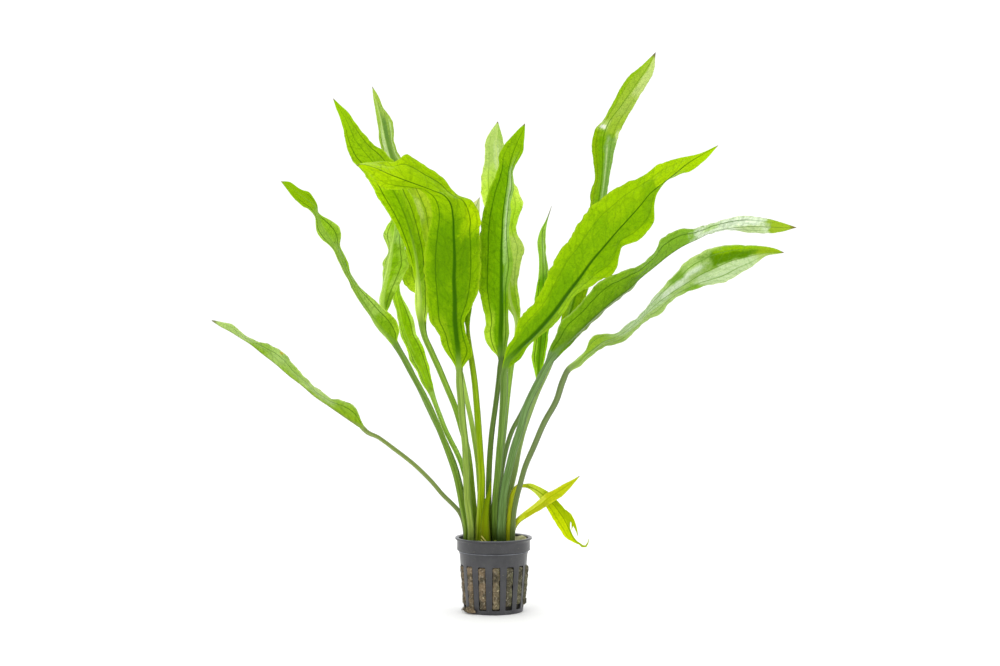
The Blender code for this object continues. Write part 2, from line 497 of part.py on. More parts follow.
def material(name, colour, roughness):
    made = bpy.data.materials.new(name)
    made.use_nodes = True
    shader = made.node_tree.nodes["Principled BSDF"]
    shader.inputs["Base Color"].default_value = (*colour, 1.0)
    shader.inputs["Roughness"].default_value = roughness
    shader.inputs["Metallic"].default_value = 0.0
    return made


def add_object(name, mesh, made_of):
    mesh.materials.append(made_of)
    made = bpy.data.objects.new(name, mesh)
    bpy.context.scene.collection.objects.link(made)
    return made


def mesh_from_rings(name, rings, low_point, high_point, mirrored=False):
    """A closed mesh through rings of equal length, ended by one point below them and one above them.

    Mirrored splits each quad so that the ring's second half folds as its first half does: then the two
    faces of a twisted blade stay apart.
    """
    work = bmesh.new()
    loops = [[work.verts.new(Vector(point) * MM) for point in ring] for ring in rings]
    low = work.verts.new(Vector(low_point) * MM)
    high = work.verts.new(Vector(high_point) * MM)
    count = len(rings[0])
    for lower, upper in zip(loops, loops[1:]):
        for i in range(count):
            j = (i + 1) % count
            if not mirrored:
                work.faces.new((lower[i], lower[j], upper[j], upper[i]))
            elif i < count // 2:
                work.faces.new((lower[i], lower[j], upper[j]))
                work.faces.new((lower[i], upper[j], upper[i]))
            else:
                work.faces.new((lower[i], lower[j], upper[i]))
                work.faces.new((lower[j], upper[j], upper[i]))
    for i in range(count):
        j = (i + 1) % count
        work.faces.new((loops[0][j], loops[0][i], low))
        work.faces.new((loops[-1][i], loops[-1][j], high))
    bmesh.ops.recalc_face_normals(work, faces=work.faces)
    mesh = bpy.data.meshes.new(name)
    work.to_mesh(mesh)
    work.free()
    mesh.shade_smooth()
    return mesh


def turned(profile, angles):
    """Rings about Z: one for each (radius, z) of the profile, with a point at each angle."""
    return [[(radius * cos(a), radius * sin(a), z) for a in angles] for radius, z in profile]


def body_radius(z):
    """The pot's outer radius at a height on its tapering wall."""
    share = (z - FOOT_CHAMFER) / (STEP_Z - FOOT_CHAMFER)
    return BODY_BOTTOM_RADIUS + (BODY_TOP_RADIUS - BODY_BOTTOM_RADIUS) * share


def slot_angle(index):
    """The direction of a slot's middle, counted from the front."""
    return -pi / 2 + SLOT_TURN + index * 2 * pi / SLOT_COUNT


def add_block(work, angle, inner, outer, half_width, low, high, corner):
    """A block pointing outwards at an angle, with its four upright-face corners cut off."""
    outline = (
        (-half_width + corner, low), (half_width - corner, low), (half_width, low + corner),
        (half_width, high - corner), (half_width - corner, high), (-half_width + corner, high),
        (-half_width, high - corner), (-half_width, low + corner),
    )
    outwards = Vector((cos(angle), sin(angle), 0))
    sideways = Vector((-sin(angle), cos(angle), 0))
    ends = []
    for radius in (inner, outer):
        points = [outwards * radius + sideways * across + Vector((0, 0, z)) for across, z in outline]
        ends.append([work.verts.new(point * MM) for point in points])
    near, far = ends
    work.faces.new(near)
    work.faces.new(far[::-1])
    for i in range(len(outline)):
        j = (i + 1) % len(outline)
        work.faces.new((near[j], near[i], far[i], far[j]))


def slot_cutter():
    """All the blocks that the pot's slots are cut with, as one helper object."""
    work = bmesh.new()
    for index in range(SLOT_COUNT):
        angle = slot_angle(index)
        add_block(
            work, angle, BODY_BOTTOM_RADIUS - 3 * WALL, BODY_TOP_RADIUS + 2 * WALL,
            SLOT_WIDTH / 2, SLOT_BOTTOM_Z, SLOT_TOP_Z, SLOT_CORNER,
        )
        if index % 2 == 0:
            add_block(
                work, angle, FLOOR_SLOT_INNER, FLOOR_SLOT_OUTER,
                FLOOR_SLOT_WIDTH / 2, -FLOOR, 2 * FLOOR, SLOT_CORNER,
            )
    bmesh.ops.recalc_face_normals(work, faces=work.faces)
    mesh = bpy.data.meshes.new("slot_cutter")
    work.to_mesh(mesh)
    work.free()
    cutter = bpy.data.objects.new("slot_cutter", mesh)
    bpy.context.scene.collection.objects.link(cutter)
    cutter.hide_render = True
    cutter.display_type = "WIRE"
    return cutter


def build_pot():
    rim_bottom = POT_HEIGHT - RIM_DEPTH
    collar_inside = COLLAR_RADIUS - WALL
    profile = [
        (BODY_BOTTOM_RADIUS - FOOT_CHAMFER, 0.0),
        (BODY_BOTTOM_RADIUS, FOOT_CHAMFER),
        (BODY_TOP_RADIUS, STEP_Z),
        (COLLAR_RADIUS, COLLAR_BOTTOM_Z),
        (COLLAR_RADIUS, rim_bottom),
        (RIM_RADIUS, rim_bottom + RIM_ROUND),
        (RIM_RADIUS, POT_HEIGHT - RIM_ROUND),
        (RIM_RADIUS - RIM_ROUND, POT_HEIGHT),
        (collar_inside + RIM_ROUND, POT_HEIGHT),
        (collar_inside, POT_HEIGHT - RIM_ROUND),
        (collar_inside, COLLAR_BOTTOM_Z + WALL / 2),
        (BODY_TOP_RADIUS - WALL, STEP_Z),
        (BODY_BOTTOM_RADIUS - WALL, FLOOR),
    ]
    angles = [SLOT_TURN + 2 * pi * (i + 0.5) / POT_SEGMENTS for i in range(POT_SEGMENTS)]
    mesh = mesh_from_rings("net_pot", turned(profile, angles), (0, 0, 0), (0, 0, FLOOR))
    pot = add_object("net_pot", mesh, material("dark grey plastic", (0.085, 0.085, 0.095), 0.4))
    cut = pot.modifiers.new("slots", "BOOLEAN")
    cut.operation = "DIFFERENCE"
    cut.object = slot_cutter()
    mesh.set_sharp_from_angle(angle=CREASE_ANGLE)


def wool_ring(radius, lobe_radius, z):
    """One level of the plug: a circle that steps out to the lobe radius inside each slot."""
    lobe_half = LOBE_HALF_WIDTH - (LOBE_SHOULDER if lobe_radius > radius else 0.0)
    corners = (
        (-LOBE_HALF_WIDTH, radius), (-lobe_half, lobe_radius), (lobe_half, lobe_radius), (LOBE_HALF_WIDTH, radius),
    )
    ring = []
    for index in range(SLOT_COUNT):
        for across, reach in corners:
            angle = slot_angle(index) + across / reach
            ring.append((reach * cos(angle), reach * sin(angle), z))
    return ring


def oval_point(centre, half_size, angle, z):
    """The point of an oval that lies in a direction from its centre."""
    across, along = cos(angle), sin(angle)
    reach = 1 / ((across / half_size[0]) ** 2 + (along / half_size[1]) ** 2) ** 0.5
    return centre[0] + across * reach, centre[1] + along * reach, z


def build_wool():
    inset = WALL + GAP
    low = SLOT_BOTTOM_Z + GAP
    high = SLOT_TOP_Z - GAP
    inside_low = body_radius(low) - inset
    inside_high = body_radius(high) - inset
    inside_step = BODY_TOP_RADIUS - inset - WOOL_SHRINK
    inside_collar = COLLAR_RADIUS - inset - WOOL_SHRINK
    levels = (
        (body_radius(WOOL_FOOT_Z) - inset - WOOL_SHRINK, 0, WOOL_FOOT_Z),
        (inside_low, 0, low),
        (inside_low, body_radius(low) + LOBE_PROUD, low + LOBE_BEVEL),
        (inside_high, body_radius(high) + LOBE_PROUD, high - LOBE_BEVEL),
        (inside_high, 0, high),
        (inside_step, 0, STEP_Z - 2 * GAP),
        (inside_collar, 0, COLLAR_BOTTOM_Z + 4 * GAP),
        (inside_collar, 0, WOOL_CREST_Z - WOOL_LEAN - WOOL_EDGE_DROP),
    )
    rings = [wool_ring(radius, max(radius, lobe_radius), z) for radius, lobe_radius, z in levels]
    crest = []
    dish = []
    for x, y, _ in rings[-1]:
        low_point = oval_point(CROWN_CENTRE, DISH_HALF_SIZE, atan2(y, x), DISH_Z)
        dish.append(low_point)
        crest.append((
            low_point[0] + (x - low_point[0]) * WOOL_CREST_SHARE,
            low_point[1] + (y - low_point[1]) * WOOL_CREST_SHARE,
            WOOL_CREST_Z + WOOL_LEAN * x / inside_collar,
        ))
    mesh = mesh_from_rings("mineral_wool", rings + [crest, dish], (0, 0, WOOL_FOOT_Z), (*CROWN_CENTRE, DISH_Z))
    add_object("mineral_wool", mesh, material("wet mineral wool", (0.19, 0.15, 0.08), 0.9))


def build_crown():
    bevelled = tuple(half - CROWN_BEVEL for half in CROWN_HALF_SIZE)
    levels = (
        (bevelled, CROWN_FOOT_Z),
        (CROWN_HALF_SIZE, CROWN_FOOT_Z + CROWN_BEVEL),
        (CROWN_HALF_SIZE, CROWN_TOP_Z - CROWN_BEVEL),
        (bevelled, CROWN_TOP_Z),
    )
    angles = [2 * pi * i / CROWN_SEGMENTS for i in range(CROWN_SEGMENTS)]
    rings = [[oval_point(CROWN_CENTRE, half, angle, z) for angle in angles] for half, z in levels]
    mesh = mesh_from_rings("crown", rings, (*CROWN_CENTRE, CROWN_FOOT_Z), (*CROWN_CENTRE, CROWN_TOP_Z))
    mesh.set_sharp_from_angle(angle=CREASE_ANGLE)
    add_object("crown", mesh, material("pale green rootstock", (0.35, 0.36, 0.12), 0.6))


def leaf_rows(leaf):
    """A leaf's rows from the crown to the tip: (midrib, left edge, right edge, half thickness, rib share)."""
    blade = [[Vector(point) for point in row] for row in leaf["blade"]]
    stalk = [Vector((*leaf["base"], LEAF_FOOT_Z))] + [Vector(point) for point in leaf["stalk"]]
    across = (blade[0][2] - blade[0][1]).normalized()
    foot_half, top_half = leaf["half_width"]
    rows = []
    for index, point in enumerate(stalk):
        after = stalk[index + 1] if index + 1 < len(stalk) else blade[0][0]
        along = (after - stalk[index - 1]).normalized() if index else Vector((0, 0, 1))
        side = (across - along * across.dot(along)).normalized()
        half = foot_half + (top_half - foot_half) * index / len(stalk)
        rows.append((point, point - side * half, point + side * half, half * STALK_FLATNESS, STALK_SHOULDER))
    for index, (middle, left, right) in enumerate(blade):
        left_over = 1 - index / len(blade)
        rib_half = RIB_TIP_HALF_THICKNESS + (top_half - RIB_TIP_HALF_THICKNESS) * left_over
        narrow_side = min((left - middle).length, (right - middle).length)
        share = min(STALK_SHOULDER, RIB_HALF_WIDTH_SHARE * rib_half / narrow_side)
        rows.append((middle, left, right, rib_half * STALK_FLATNESS, share))
    return rows


def leaf_ring(row, along, is_blade):
    """Eight points round one row: the two edges, and a shoulder, the rib and a shoulder on either face."""
    middle, left, right, half_thickness, share = row
    left_out = (middle - left).cross(along).normalized()
    right_out = (right - middle).cross(along).normalized()
    rib_out = (left_out + right_out).normalized()
    shoulder = half_thickness * (1 - STALK_SHOULDER**2) ** 0.5
    if is_blade:
        shoulder = min(shoulder, BLADE_HALF_THICKNESS)
    near_left = middle + (left - middle) * share
    near_right = middle + (right - middle) * share
    return [
        left,
        near_left + left_out * shoulder,
        middle + rib_out * half_thickness,
        near_right + right_out * shoulder,
        right,
        near_right - right_out * shoulder,
        middle - rib_out * half_thickness,
        near_left - left_out * shoulder,
    ]


def build_leaf(name, leaf, made_of):
    rows = leaf_rows(leaf)
    tip = Vector(leaf["tip"])
    blade_start = len(rows) - len(leaf["blade"])
    rings = []
    for index, row in enumerate(rows):
        after = rows[index + 1][0] if index + 1 < len(rows) else tip
        along = (after - rows[index - 1][0]).normalized() if index else Vector((0, 0, 1))
        rings.append(leaf_ring(row, along, index >= blade_start))
    mesh = mesh_from_rings(name, rings, rows[0][0], tip, mirrored=True)
    mesh.set_sharp_from_angle(angle=2 * CREASE_ANGLE)
    add_object(name, mesh, made_of)


def main():
    for old in list(bpy.data.objects):
        bpy.data.objects.remove(old)
    build_pot()
    build_wool()
    build_crown()
    greens = {
        "fresh": material("fresh green leaf", (0.3, 0.52, 0.01), 0.35),
        "dark": material("dark green leaf", (0.13, 0.33, 0.01), 0.35),
        "yellow": material("yellow green leaf", (0.5, 0.6, 0.02), 0.4),
    }
    for name, leaf in LEAVES.items():
        build_leaf(name, leaf, greens[leaf["green"]])


main()
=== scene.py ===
"""Looks of the young amazon sword plant in its net pot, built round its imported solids.

Tables and sizes are in millimetres until MM turns them into metres. The front is towards -Y.
"""

from math import atan2, cos, hypot, pi, radians, sin

import bmesh
import bpy
import numpy as np
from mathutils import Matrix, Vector, noise


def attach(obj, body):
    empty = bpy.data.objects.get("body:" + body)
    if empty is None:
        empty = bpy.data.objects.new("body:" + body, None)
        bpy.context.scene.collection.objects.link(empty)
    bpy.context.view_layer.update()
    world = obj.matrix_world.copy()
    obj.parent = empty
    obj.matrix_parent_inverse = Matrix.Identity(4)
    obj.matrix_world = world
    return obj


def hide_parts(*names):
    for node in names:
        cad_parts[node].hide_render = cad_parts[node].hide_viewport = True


MM = 0.001
BODY = "root"

# Camera at the photo's viewing angle: level, in front of the plant.
CAMERA_PLACE = (0.0046, -1.19, 0.199)
CAMERA_LENS = 59.76

# Seeds of the random draws; the slots' seeds count up from theirs.
SLOT_SEED, FIBRE_SEED, TUFT_SEED, STUB_SEED = 40, 7, 21, 3

# Net pot: the sizes of its solid, with finer rounds.
POT_HEIGHT = 53.0
RIM_RADIUS = 27.5
RIM_DEPTH = 2.6
COLLAR_RADIUS = 26.15
COLLAR_BOTTOM_Z = 43.9
STEP_Z = 43.2
BODY_TOP_RADIUS = 24.5
BODY_BOTTOM_RADIUS = 21.15
FOOT_ROUND = 0.6
WALL = 1.3
FLOOR = 1.4
POT_SEGMENTS = 168
EDGE_ROUND = 0.22
LEDGE_Z = 43.1  # the thin ledge under the collar
LEDGE_PROUD = 0.5
SLOT_COUNT = 14
SLOT_WIDTH = 5.6
SLOT_BOTTOM_Z = 3.1
SLOT_TOP_Z = 33.9
SLOT_TURN = radians(4.9)
SLOT_CORNER = 0.8
FLOOR_SLOT_WIDTH = 3.0
FLOOR_SLOT_INNER = 6.0
FLOOR_SLOT_OUTER = 16.0

# Mineral wool plug.
WOOL_GAP = 0.3
WOOL_FOOT_Z = FLOOR + WOOL_GAP
WOOL_EDGE_Z = 48.9
WOOL_CREST_Z = 50.1
WOOL_LEAN = 1.6
WOOL_TOP_Z = (46.0, 49.0)  # between these heights the top's colour comes in
LOBE_HALF_WIDTH = 3.1
FIBRE_COUNT = 1500
FIBRE_RADIUS = 0.06
WOOL_COLUMNS = SLOT_COUNT * 30
WOOL_ROWS = 96
WOOL_TOP_ROWS = 26
TUFT_RADIUS = 22.6  # from the pot's axis to the tuft's middle line
TUFT_START, TUFT_TURN = radians(-160), radians(36)
TUFT_HALF = 2.05
TUFT_ROWS = TUFT_COLUMNS = 24
TUFT_FIBRES = 90

# Crown: an oval rootstock, whose top rises round each stalk's foot.
CROWN_CENTRE = (-2.6, -0.8)
CROWN_HALF_SIZE = (20.2, 12.4)
CROWN_FOOT_Z = 46.0
CROWN_TOP_Z = 49.3
CROWN_GREEN_Z = (49.2, 50.8)  # between these heights it turns green
SHEATH_HEIGHT = 3.0
CROWN_COLUMNS = 144
CROWN_ROWS = 44
STUB_COUNT = 14

# Pale dry shreds of old sheath round the young shoot's foot: start, end, radius.
HUSK = (
    ((-8.6, -13.6, 55.2), (-5.4, -13.9, 51.4), 0.42), ((-7.2, -13.7, 53.4), (-4.6, -14.0, 50.9), 0.34),
    ((-8.9, -13.3, 52.8), (-7.2, -13.7, 50.8), 0.36),
)

# Leaves: rings along a loft through each table's rows, with a face in front and one behind.
LEAF_FOOT_Z = 49.6
STALK_RING_GAP = 3.0
BLADE_RING_GAP = 1.5
STALK_FLATNESS = 0.85
STALK_FULLNESS = 1.07
SHEATH_FULLNESS = 0.12
SHEATH_REACH = 14.0
RIB_TIP_HALF = 0.35
LAMINA_HALF = 0.17
MARGIN_HALF = 0.08
TATTER_HALF = 0.13
PILLOW = 0.45  # how far a wide blade bulges between its strong veins
FRILL = 0.77  # waves of the margins, out of the blade
QUILT = 0.2  # small lumps of the blade
SCALLOPS = (0.032, 0.014)  # large and small waves of the outline, as shares of the half width
LEAF_BUMP = 0.34
FOOT_SHADE_Z = (50.0, 66.0)  # painted shade: stalks are dark below the first height and not above the second
MAIN_VEIN = 0.62  # place of a blade's strong side vein, as a share of its half width
FINE_VEINS = (0.32, 0.86)
COLUMNS = (0.0, 0.05, 0.11, 0.19, 0.28, 0.37, 0.46, 0.54, 0.62, 0.70, 0.78, 0.85, 0.91, 0.96, 1.0)

# Every leaf: where it stands on the crown (x, y), the stalk's half width at its foot and at the blade,
# the blade's tip, the stalk's middle line, and the blade's rows, which are (midrib, left edge, right edge)
# with an x, y and z each.
LEAVES = {
    "leaf_front_left": dict(
        base=(-16.2, -8.2), half_width=(2.1, 2.5), tip=(-93.5, -57, 313.5),
        stalk=[
            (-16, -8.5, 59), (-17, -9, 68), (-18.5, -9, 79), (-19, -10, 89.5), (-19.5, -10.5, 105.5),
            (-20, -11.5, 119.5), (-22, -13, 137.5), (-23, -14, 151.5), (-24, -15, 164.5),
        ],
        blade=[
            (-24.5,-16,174.5, -27,-16,175, -21.5,-16,174.5), (-24.5,-17,180, -29.5,-17,179.5, -20,-17,177),
            (-25,-18,187, -34.5,-17,186.5, -15,-16,184), (-26,-21,197.5, -38,-18,197, -18.5,-20,195.5),
            (-27,-24,208, -44.5,-21,207.5, -20.5,-22,207), (-27,-28,222, -46.5,-24,223, -14,-23,220),
            (-27.5,-32,236, -48,-27,237, -9.5,-27,235.5), (-27,-36,251, -48.5,-32,251.5, -9,-30,252),
            (-27.5,-40,266.5, -46,-37,266, -9.5,-34,268), (-28,-44,280, -43,-42,279.5, -10,-37,282),
            (-30,-46,289, -43.5,-45,287.5, -16,-38,291.5), (-34.5,-47,294, -45.5,-47,292.5, -26,-39,295.5),
            (-41,-48,296.5, -50.5,-49,297.5, -33.5,-40,304.5), (-50.5,-49,300, -58,-51,298, -44,-41,312.5),
            (-61.5,-50,304, -66,-53,297, -59.5,-42,322), (-72,-52,308, -75.5,-55,298, -68.5,-44,317),
            (-82.5,-54,312.5, -83.5,-57,305.5, -82,-48,317), (-89.5,-56,314, -90.5,-57,312, -90,-54,315),
        ],
    ),
    "leaf_twisted_left": dict(
        base=(-19.6, -3), half_width=(2.1, 1.9), tip=(-148.5, -31, 305),
        stalk=[
            (-19, -3, 57), (-20.3, -3.5, 65.5), (-22.3, -4, 75), (-24.2, -4.5, 85.5), (-26.9, -5, 97.5),
            (-32.3, -6.5, 114), (-38.5, -7.5, 130), (-46.5, -9, 148.5), (-59, -11.5, 172), (-66, -13, 185),
        ],
        blade=[
            (-70,-14,191.5, -72,-15,190.5, -68,-13.5,193), (-74.5,-15,196.5, -76,-16,195.5, -67,-12,201),
            (-79.5,-16,202.5, -81,-18,201, -70,-12,209), (-86,-17.5,211.5, -87,-20,210.5, -76.5,-12,215),
            (-92,-19,221, -93,-23,219.5, -85.5,-13,223), (-97.5,-20,231, -99,-25,229.5, -94.5,-14,231.5),
            (-102.5,-21,241, -104,-27,239.5, -102,-14,242.5), (-106.5,-22,249.5, -108,-27,248, -104,-14,251),
            (-111,-23,259, -113,-27,258, -108.5,-16,261), (-116,-24,266, -119.5,-27,264, -108,-18,270.5),
            (-120.5,-25,273, -124,-28,270.5, -113,-22,277.5), (-123,-26,280.5, -124.5,-30,279, -122.5,-23,283),
            (-125.5,-27,287.5, -128,-31,284, -124,-24,289.5), (-131,-28,292.5, -133.5,-31,288, -128.5,-26,297),
            (-137.5,-29,297.5, -139.5,-31,293, -135.5,-28,300), (-143,-30,301.5, -144,-31,299, -142,-29,304.5),
        ],
    ),
    "leaf_low_left": dict(
        base=(-20.2, 1.2), half_width=(1.5, 1.4), tip=(-206, 21, 208.5),
        stalk=[
            (-20.4, 1.5, 56.5), (-21.6, 1.5, 63.5), (-24.6, 2, 70.5), (-30, 2.5, 76.5), (-35.8, 3, 82),
            (-44.5, 4, 92), (-57.5, 5.5, 104.5), (-70.5, 7, 114.5), (-83, 8.5, 123.5),
        ],
        blade=[
            (-94.5,10,130, -93.5,9,132, -95,10,128.5), (-100,10,134, -98.5,5,143, -101.5,14,138),
            (-109,11,140, -106,2,149.5, -110.5,19,146.5), (-118.5,11.5,146.5, -116,0,152, -119.5,22,151),
            (-129,12,153.5, -125.5,-1,157.5, -129.5,25,158), (-138.5,13,161.5, -133,0,165, -138.5,27,164.5),
            (-148,14,168.5, -141.5,1,173, -148,28,172), (-158,15,177, -150.5,2,184.5, -157.5,28,181.5),
            (-168,16,184.5, -161.5,4,190, -168,28,188), (-177,17,191.5, -171.5,7,193.5, -176.5,27,194),
            (-184.5,18,196, -180.5,10,197.5, -184,25,197.5), (-192,19,200.5, -189,14,204.5, -192,23,203),
            (-199,20,204, -197.5,18,207, -198.5,22,205),
        ],
    ),
    "leaf_tall_left": dict(
        base=(-13.4, -0.6), half_width=(1.9, 2.1), tip=(-114.5, -6, 366.5),
        stalk=[
            (-13, -0.5, 56.5), (-13.5, -0.5, 67), (-14.5, 0, 78), (-15.5, 0, 88.5), (-17, 0.5, 103.5),
            (-19, 1, 116.5), (-22.5, 1, 129), (-27.5, 2, 145.5), (-34, 3.5, 161), (-39.5, 4.5, 174),
            (-45.5, 6, 187), (-50, 7, 197.5),
        ],
        blade=[
            (-52.5,8,207, -54.5,8,206.5, -48.5,8,208), (-53,8.5,215.5, -56.5,9,215.5, -47,11,217),
            (-53,9,226.5, -57,10,227.5, -47.5,13,229), (-54.5,9,239, -57,10,239, -47.5,14,242),
            (-56,8.5,253, -61,9,252.5, -48.5,14,257), (-59.5,8,269, -67,8,268.5, -52,14,275.5),
            (-64,7,283.5, -74,7,282, -57,13,292.5), (-70,6,297, -82.5,5,295, -63.5,12,307),
            (-78,4.5,310.5, -89.5,3,308, -70.5,11,320), (-86.5,3,321.5, -96,1,317, -78.5,9,329.5),
            (-94.5,1,331, -102.5,-1,324.5, -86,6,334.5), (-100,0,338.5, -106,-2,335.5, -93,4,342),
            (-103,-2,346, -107.5,-3,344.5, -99.5,1,350), (-107,-4,354, -110,-5,353.5, -104,-2,357),
            (-110.5,-5,360, -112.5,-5.5,359.5, -109,-4,361.5),
        ],
    ),
    "leaf_rolled_back_left": dict(
        base=(-8.6, 3.8), half_width=(1.8, 1.6), tip=(-92, 64, 385.5),
        stalk=[
            (-8.5, 4, 57.5), (-9, 4.5, 70.5), (-10, 5.5, 86), (-11.5, 7.5, 106), (-14, 9.5, 123),
            (-16.5, 11, 137), (-19.5, 13, 150.5), (-23.5, 16, 168.5), (-28.5, 19, 186.5), (-33.5, 22, 203),
        ],
        blade=[
            (-38,24.5,216, -39.5,24.5,215, -36,24.5,216.5), (-41,26,224.5, -50,30,224, -38,29,226.5),
            (-44,28,233.5, -61,34,230, -39,32,236), (-47,30,244.5, -67.5,38,239, -39.5,36,247),
            (-50.5,33,257.5, -66.5,42,254, -42,40,260.5), (-54.5,36,270.5, -65.5,44,268, -44.5,44,275.5),
            (-60,40,287.5, -67.5,46,284.5, -45.5,48,292.5), (-67,44,303, -72,48,301.5, -53,52,309),
            (-73.5,48,318.5, -78.5,51,318, -64,56,323), (-77.5,51,328.5, -82.5,53,331.5, -71,59,331.5),
            (-80.5,54,339, -86,55,343, -75,61,342.5), (-83,56,349, -86.5,57,350, -76,63,353),
            (-85,58,359, -88,59,359, -78,65,361.5), (-87.5,60,368.5, -89.5,61,368, -83.5,65,369),
            (-90,62,377, -91,62,376.5, -87.5,65,378),
        ],
    ),
    "leaf_curled_back_left": dict(
        base=(-18, 5.2), half_width=(1.9, 1.7), tip=(-67, 38, 309.5),
        stalk=[
            (-18.5, 5.5, 57), (-20.5, 6, 71.5), (-23.5, 6.5, 86.5), (-28, 8, 103), (-35.5, 9, 121),
            (-45, 11, 140.5), (-54.5, 13, 160.5), (-62.5, 15, 176.5), (-70.5, 17, 190.5), (-76, 18.5, 202.5),
        ],
        blade=[
            (-79.5,20,211.5, -81,20,211, -78,20,212), (-82,21,221, -83.5,23,222, -76,24,219),
            (-81,22,231, -82,26,232, -71,25,230.5), (-78,23,242, -81,29,244.5, -65.5,26,241.5),
            (-76,24,252, -81,30,251.5, -62.5,28,249.5), (-74.5,25,261.5, -77.5,30,260, -65,31,258.5),
            (-73,27,271, -81,32,272, -67,33,269), (-72,29,281.5, -75.5,33,282.5, -65.5,35,279.5),
            (-70,32,292, -73.5,35,293, -65,37,291), (-68.5,35,301, -71,37,302, -65,38,300.5),
        ],
    ),
    "leaf_short_back_left": dict(
        base=(-12.6, 6.6), half_width=(1.8, 1.7), tip=(-76.5, 64, 254),
        stalk=[
            (-13, 7, 57), (-14.5, 8, 70), (-17, 9, 83), (-20.5, 11, 95), (-23.5, 12.5, 105), (-27, 13.5, 113),
            (-31, 15, 120.5), (-35.5, 17, 129.5), (-39.5, 19.5, 139.5), (-43, 22.5, 148.5),
        ],
        blade=[
            (-45.5,25,156, -48,25,155, -43.5,25,156.5), (-48,27,161.5, -52.5,28,161.5, -45,29,162.5),
            (-51.5,30,169.5, -56.5,33,170.5, -47,33,170.5), (-55,34,178.5, -62,38,179, -49.5,38,180),
            (-59.5,38,187.5, -64.5,43,187, -53,41,190), (-63.5,42,196, -68.5,47,195.5, -58,45,199),
            (-67,46,205, -71,50,205, -59.5,49,208), (-69.5,50,215.5, -73,53,215, -64,53,217),
            (-72,54,226, -76,57,225.5, -69.5,57,227.5), (-73.5,58,236.5, -77,61,236, -71.5,60,237.5),
            (-75.5,61,246.5, -77.5,63,246, -73.5,63,247.5),
        ],
    ),
    "leaf_hidden_centre": dict(
        base=(-10.2, -4.6), half_width=(2.8, 1.8), tip=(-10, 2, 296.5),
        stalk=[
            (-10, -4.5, 58.5), (-9.2, -5, 71.5), (-8.8, -5, 84), (-8.6, -5, 95.5), (-9.3, -5, 107),
            (-10.2, -5, 121.5), (-11.2, -5, 137), (-12.2, -5.5, 150), (-13.3, -5.5, 162.5),
            (-15.5, -6, 178.5), (-17.5, -6, 190.5),
        ],
        blade=[
            (-18.5,-5.5,204, -20,-5.5,204, -17,-5.5,204), (-19.5,-5,215.5, -24,-5,215, -15.5,-5,216),
            (-21,-4,228.5, -29,-3,227.5, -13.5,-3,229), (-21.5,-3,242.5, -32,-1,242, -12,-1,243.5),
            (-21,-2,257, -32,0,257, -11.5,1,258), (-20,-1,270, -28.5,1,271.5, -11,2,270),
            (-17,0,281, -22.5,1,284, -10.5,2,279.5), (-13,1,289, -16,1,291, -10,2,288),
        ],
    ),
    "leaf_dark_centre": dict(
        base=(-3.6, -2.2), half_width=(2.1, 1.6), tip=(22, -35, 345),
        stalk=[
            (-3.5, -2.5, 58), (-3.5, -3, 72.5), (-3.5, -3.5, 88.5), (-2.7, -4.5, 110.5), (-1, -5.5, 130),
            (1.2, -6, 145.5), (3.2, -7, 161.5), (4.4, -8, 174),
        ],
        blade=[
            (4.5,-8.5,182, 3,-8.5,182, 8.5,-8.5,182.5), (5,-9,189, -3,-7,188.5, 9.5,-8,188.5),
            (5,-10,199, -6.5,-7,198.5, 11,-9,198.5), (5.5,-11,210, -5.5,-9,208.5, 10.5,-9,210),
            (5.5,-12,219.5, -8.5,-12,220.5, 10.5,-9,220.5), (5.5,-14,234, -10.5,-15,234, 10.5,-10,233),
            (5.5,-16,246.5, -10,-17,247, 14,-12,247.5), (5.5,-17,258, -9.5,-18,260.5, 12.5,-13,257),
            (6,-19,270.5, -9,-19,274.5, 11,-14,268), (6.5,-21,282, -6.5,-20,287, 11.5,-15,280.5),
            (8,-23,293.5, -3,-21,300, 12.5,-17,293), (9.5,-25,303, 0.5,-22,307.5, 14.5,-20,301.5),
            (10.5,-27,312.5, 4,-24,316.5, 13.5,-23,312.5), (12.5,-29,321, 3.5,-25,322.5, 17,-26,319),
            (15,-31,328, 8,-27,331, 20.5,-29,325.5), (18,-33,335, 13,-30,336.5, 21.5,-32,333.5),
            (20.5,-34,340, 17.5,-33,341, 22,-34,340),
        ],
    ),
    "leaf_pale_back": dict(
        base=(-1.2, 5.6), half_width=(1.9, 1.8), tip=(3, 64, 359),
        stalk=[
            (-1, 6, 57), (0.5, 6.5, 71.5), (2.5, 7.5, 87.5), (5.3, 10, 109.5), (7.6, 12, 129),
            (9.2, 14, 144.5), (11, 16.5, 160.5), (13, 19, 175),
        ],
        blade=[
            (15,21,186.5, 13.5,21,186.5, 17,21,186.5), (16.5,23,197, 15,24,197, 18.5,24,197),
            (16.5,25,209.5, 15,28,209.5, 19.5,27,211), (12.5,28,222, 8,33,221, 19,31,222.5),
            (11,31,235, 2.5,37,234, 17.5,35,235.5), (10,34,250, -0.5,41,249, 20,39,251.5),
            (9,37,262.5, -2,44,261.5, 22.5,42,261.5), (8,41,277, -3.5,47,277.5, 16.5,46,276),
            (7,45,292, -7,50,292.5, 21.5,50,294.5), (5.5,48,305.5, -9.5,53,305.5, 19,54,303.5),
            (3.5,52,319.5, -8.5,56,320, 13.5,57,317), (2,55,332, -6.5,58,333, 10.5,60,331),
            (1.5,58,341, -6.5,60,342.5, 7.5,62,341.5), (2.5,61,350.5, -2,62,352, 5.5,63,350),
        ],
    ),
    "leaf_slender_back_right": dict(
        base=(3.6, 2.4), half_width=(1.6, 1.5), tip=(43, 36, 293.5),
        stalk=[
            (4, 2.5, 57.5), (4, 3, 72), (4.4, 3, 88.5), (6.6, 4, 104), (9.5, 5, 117), (13.5, 6.5, 129),
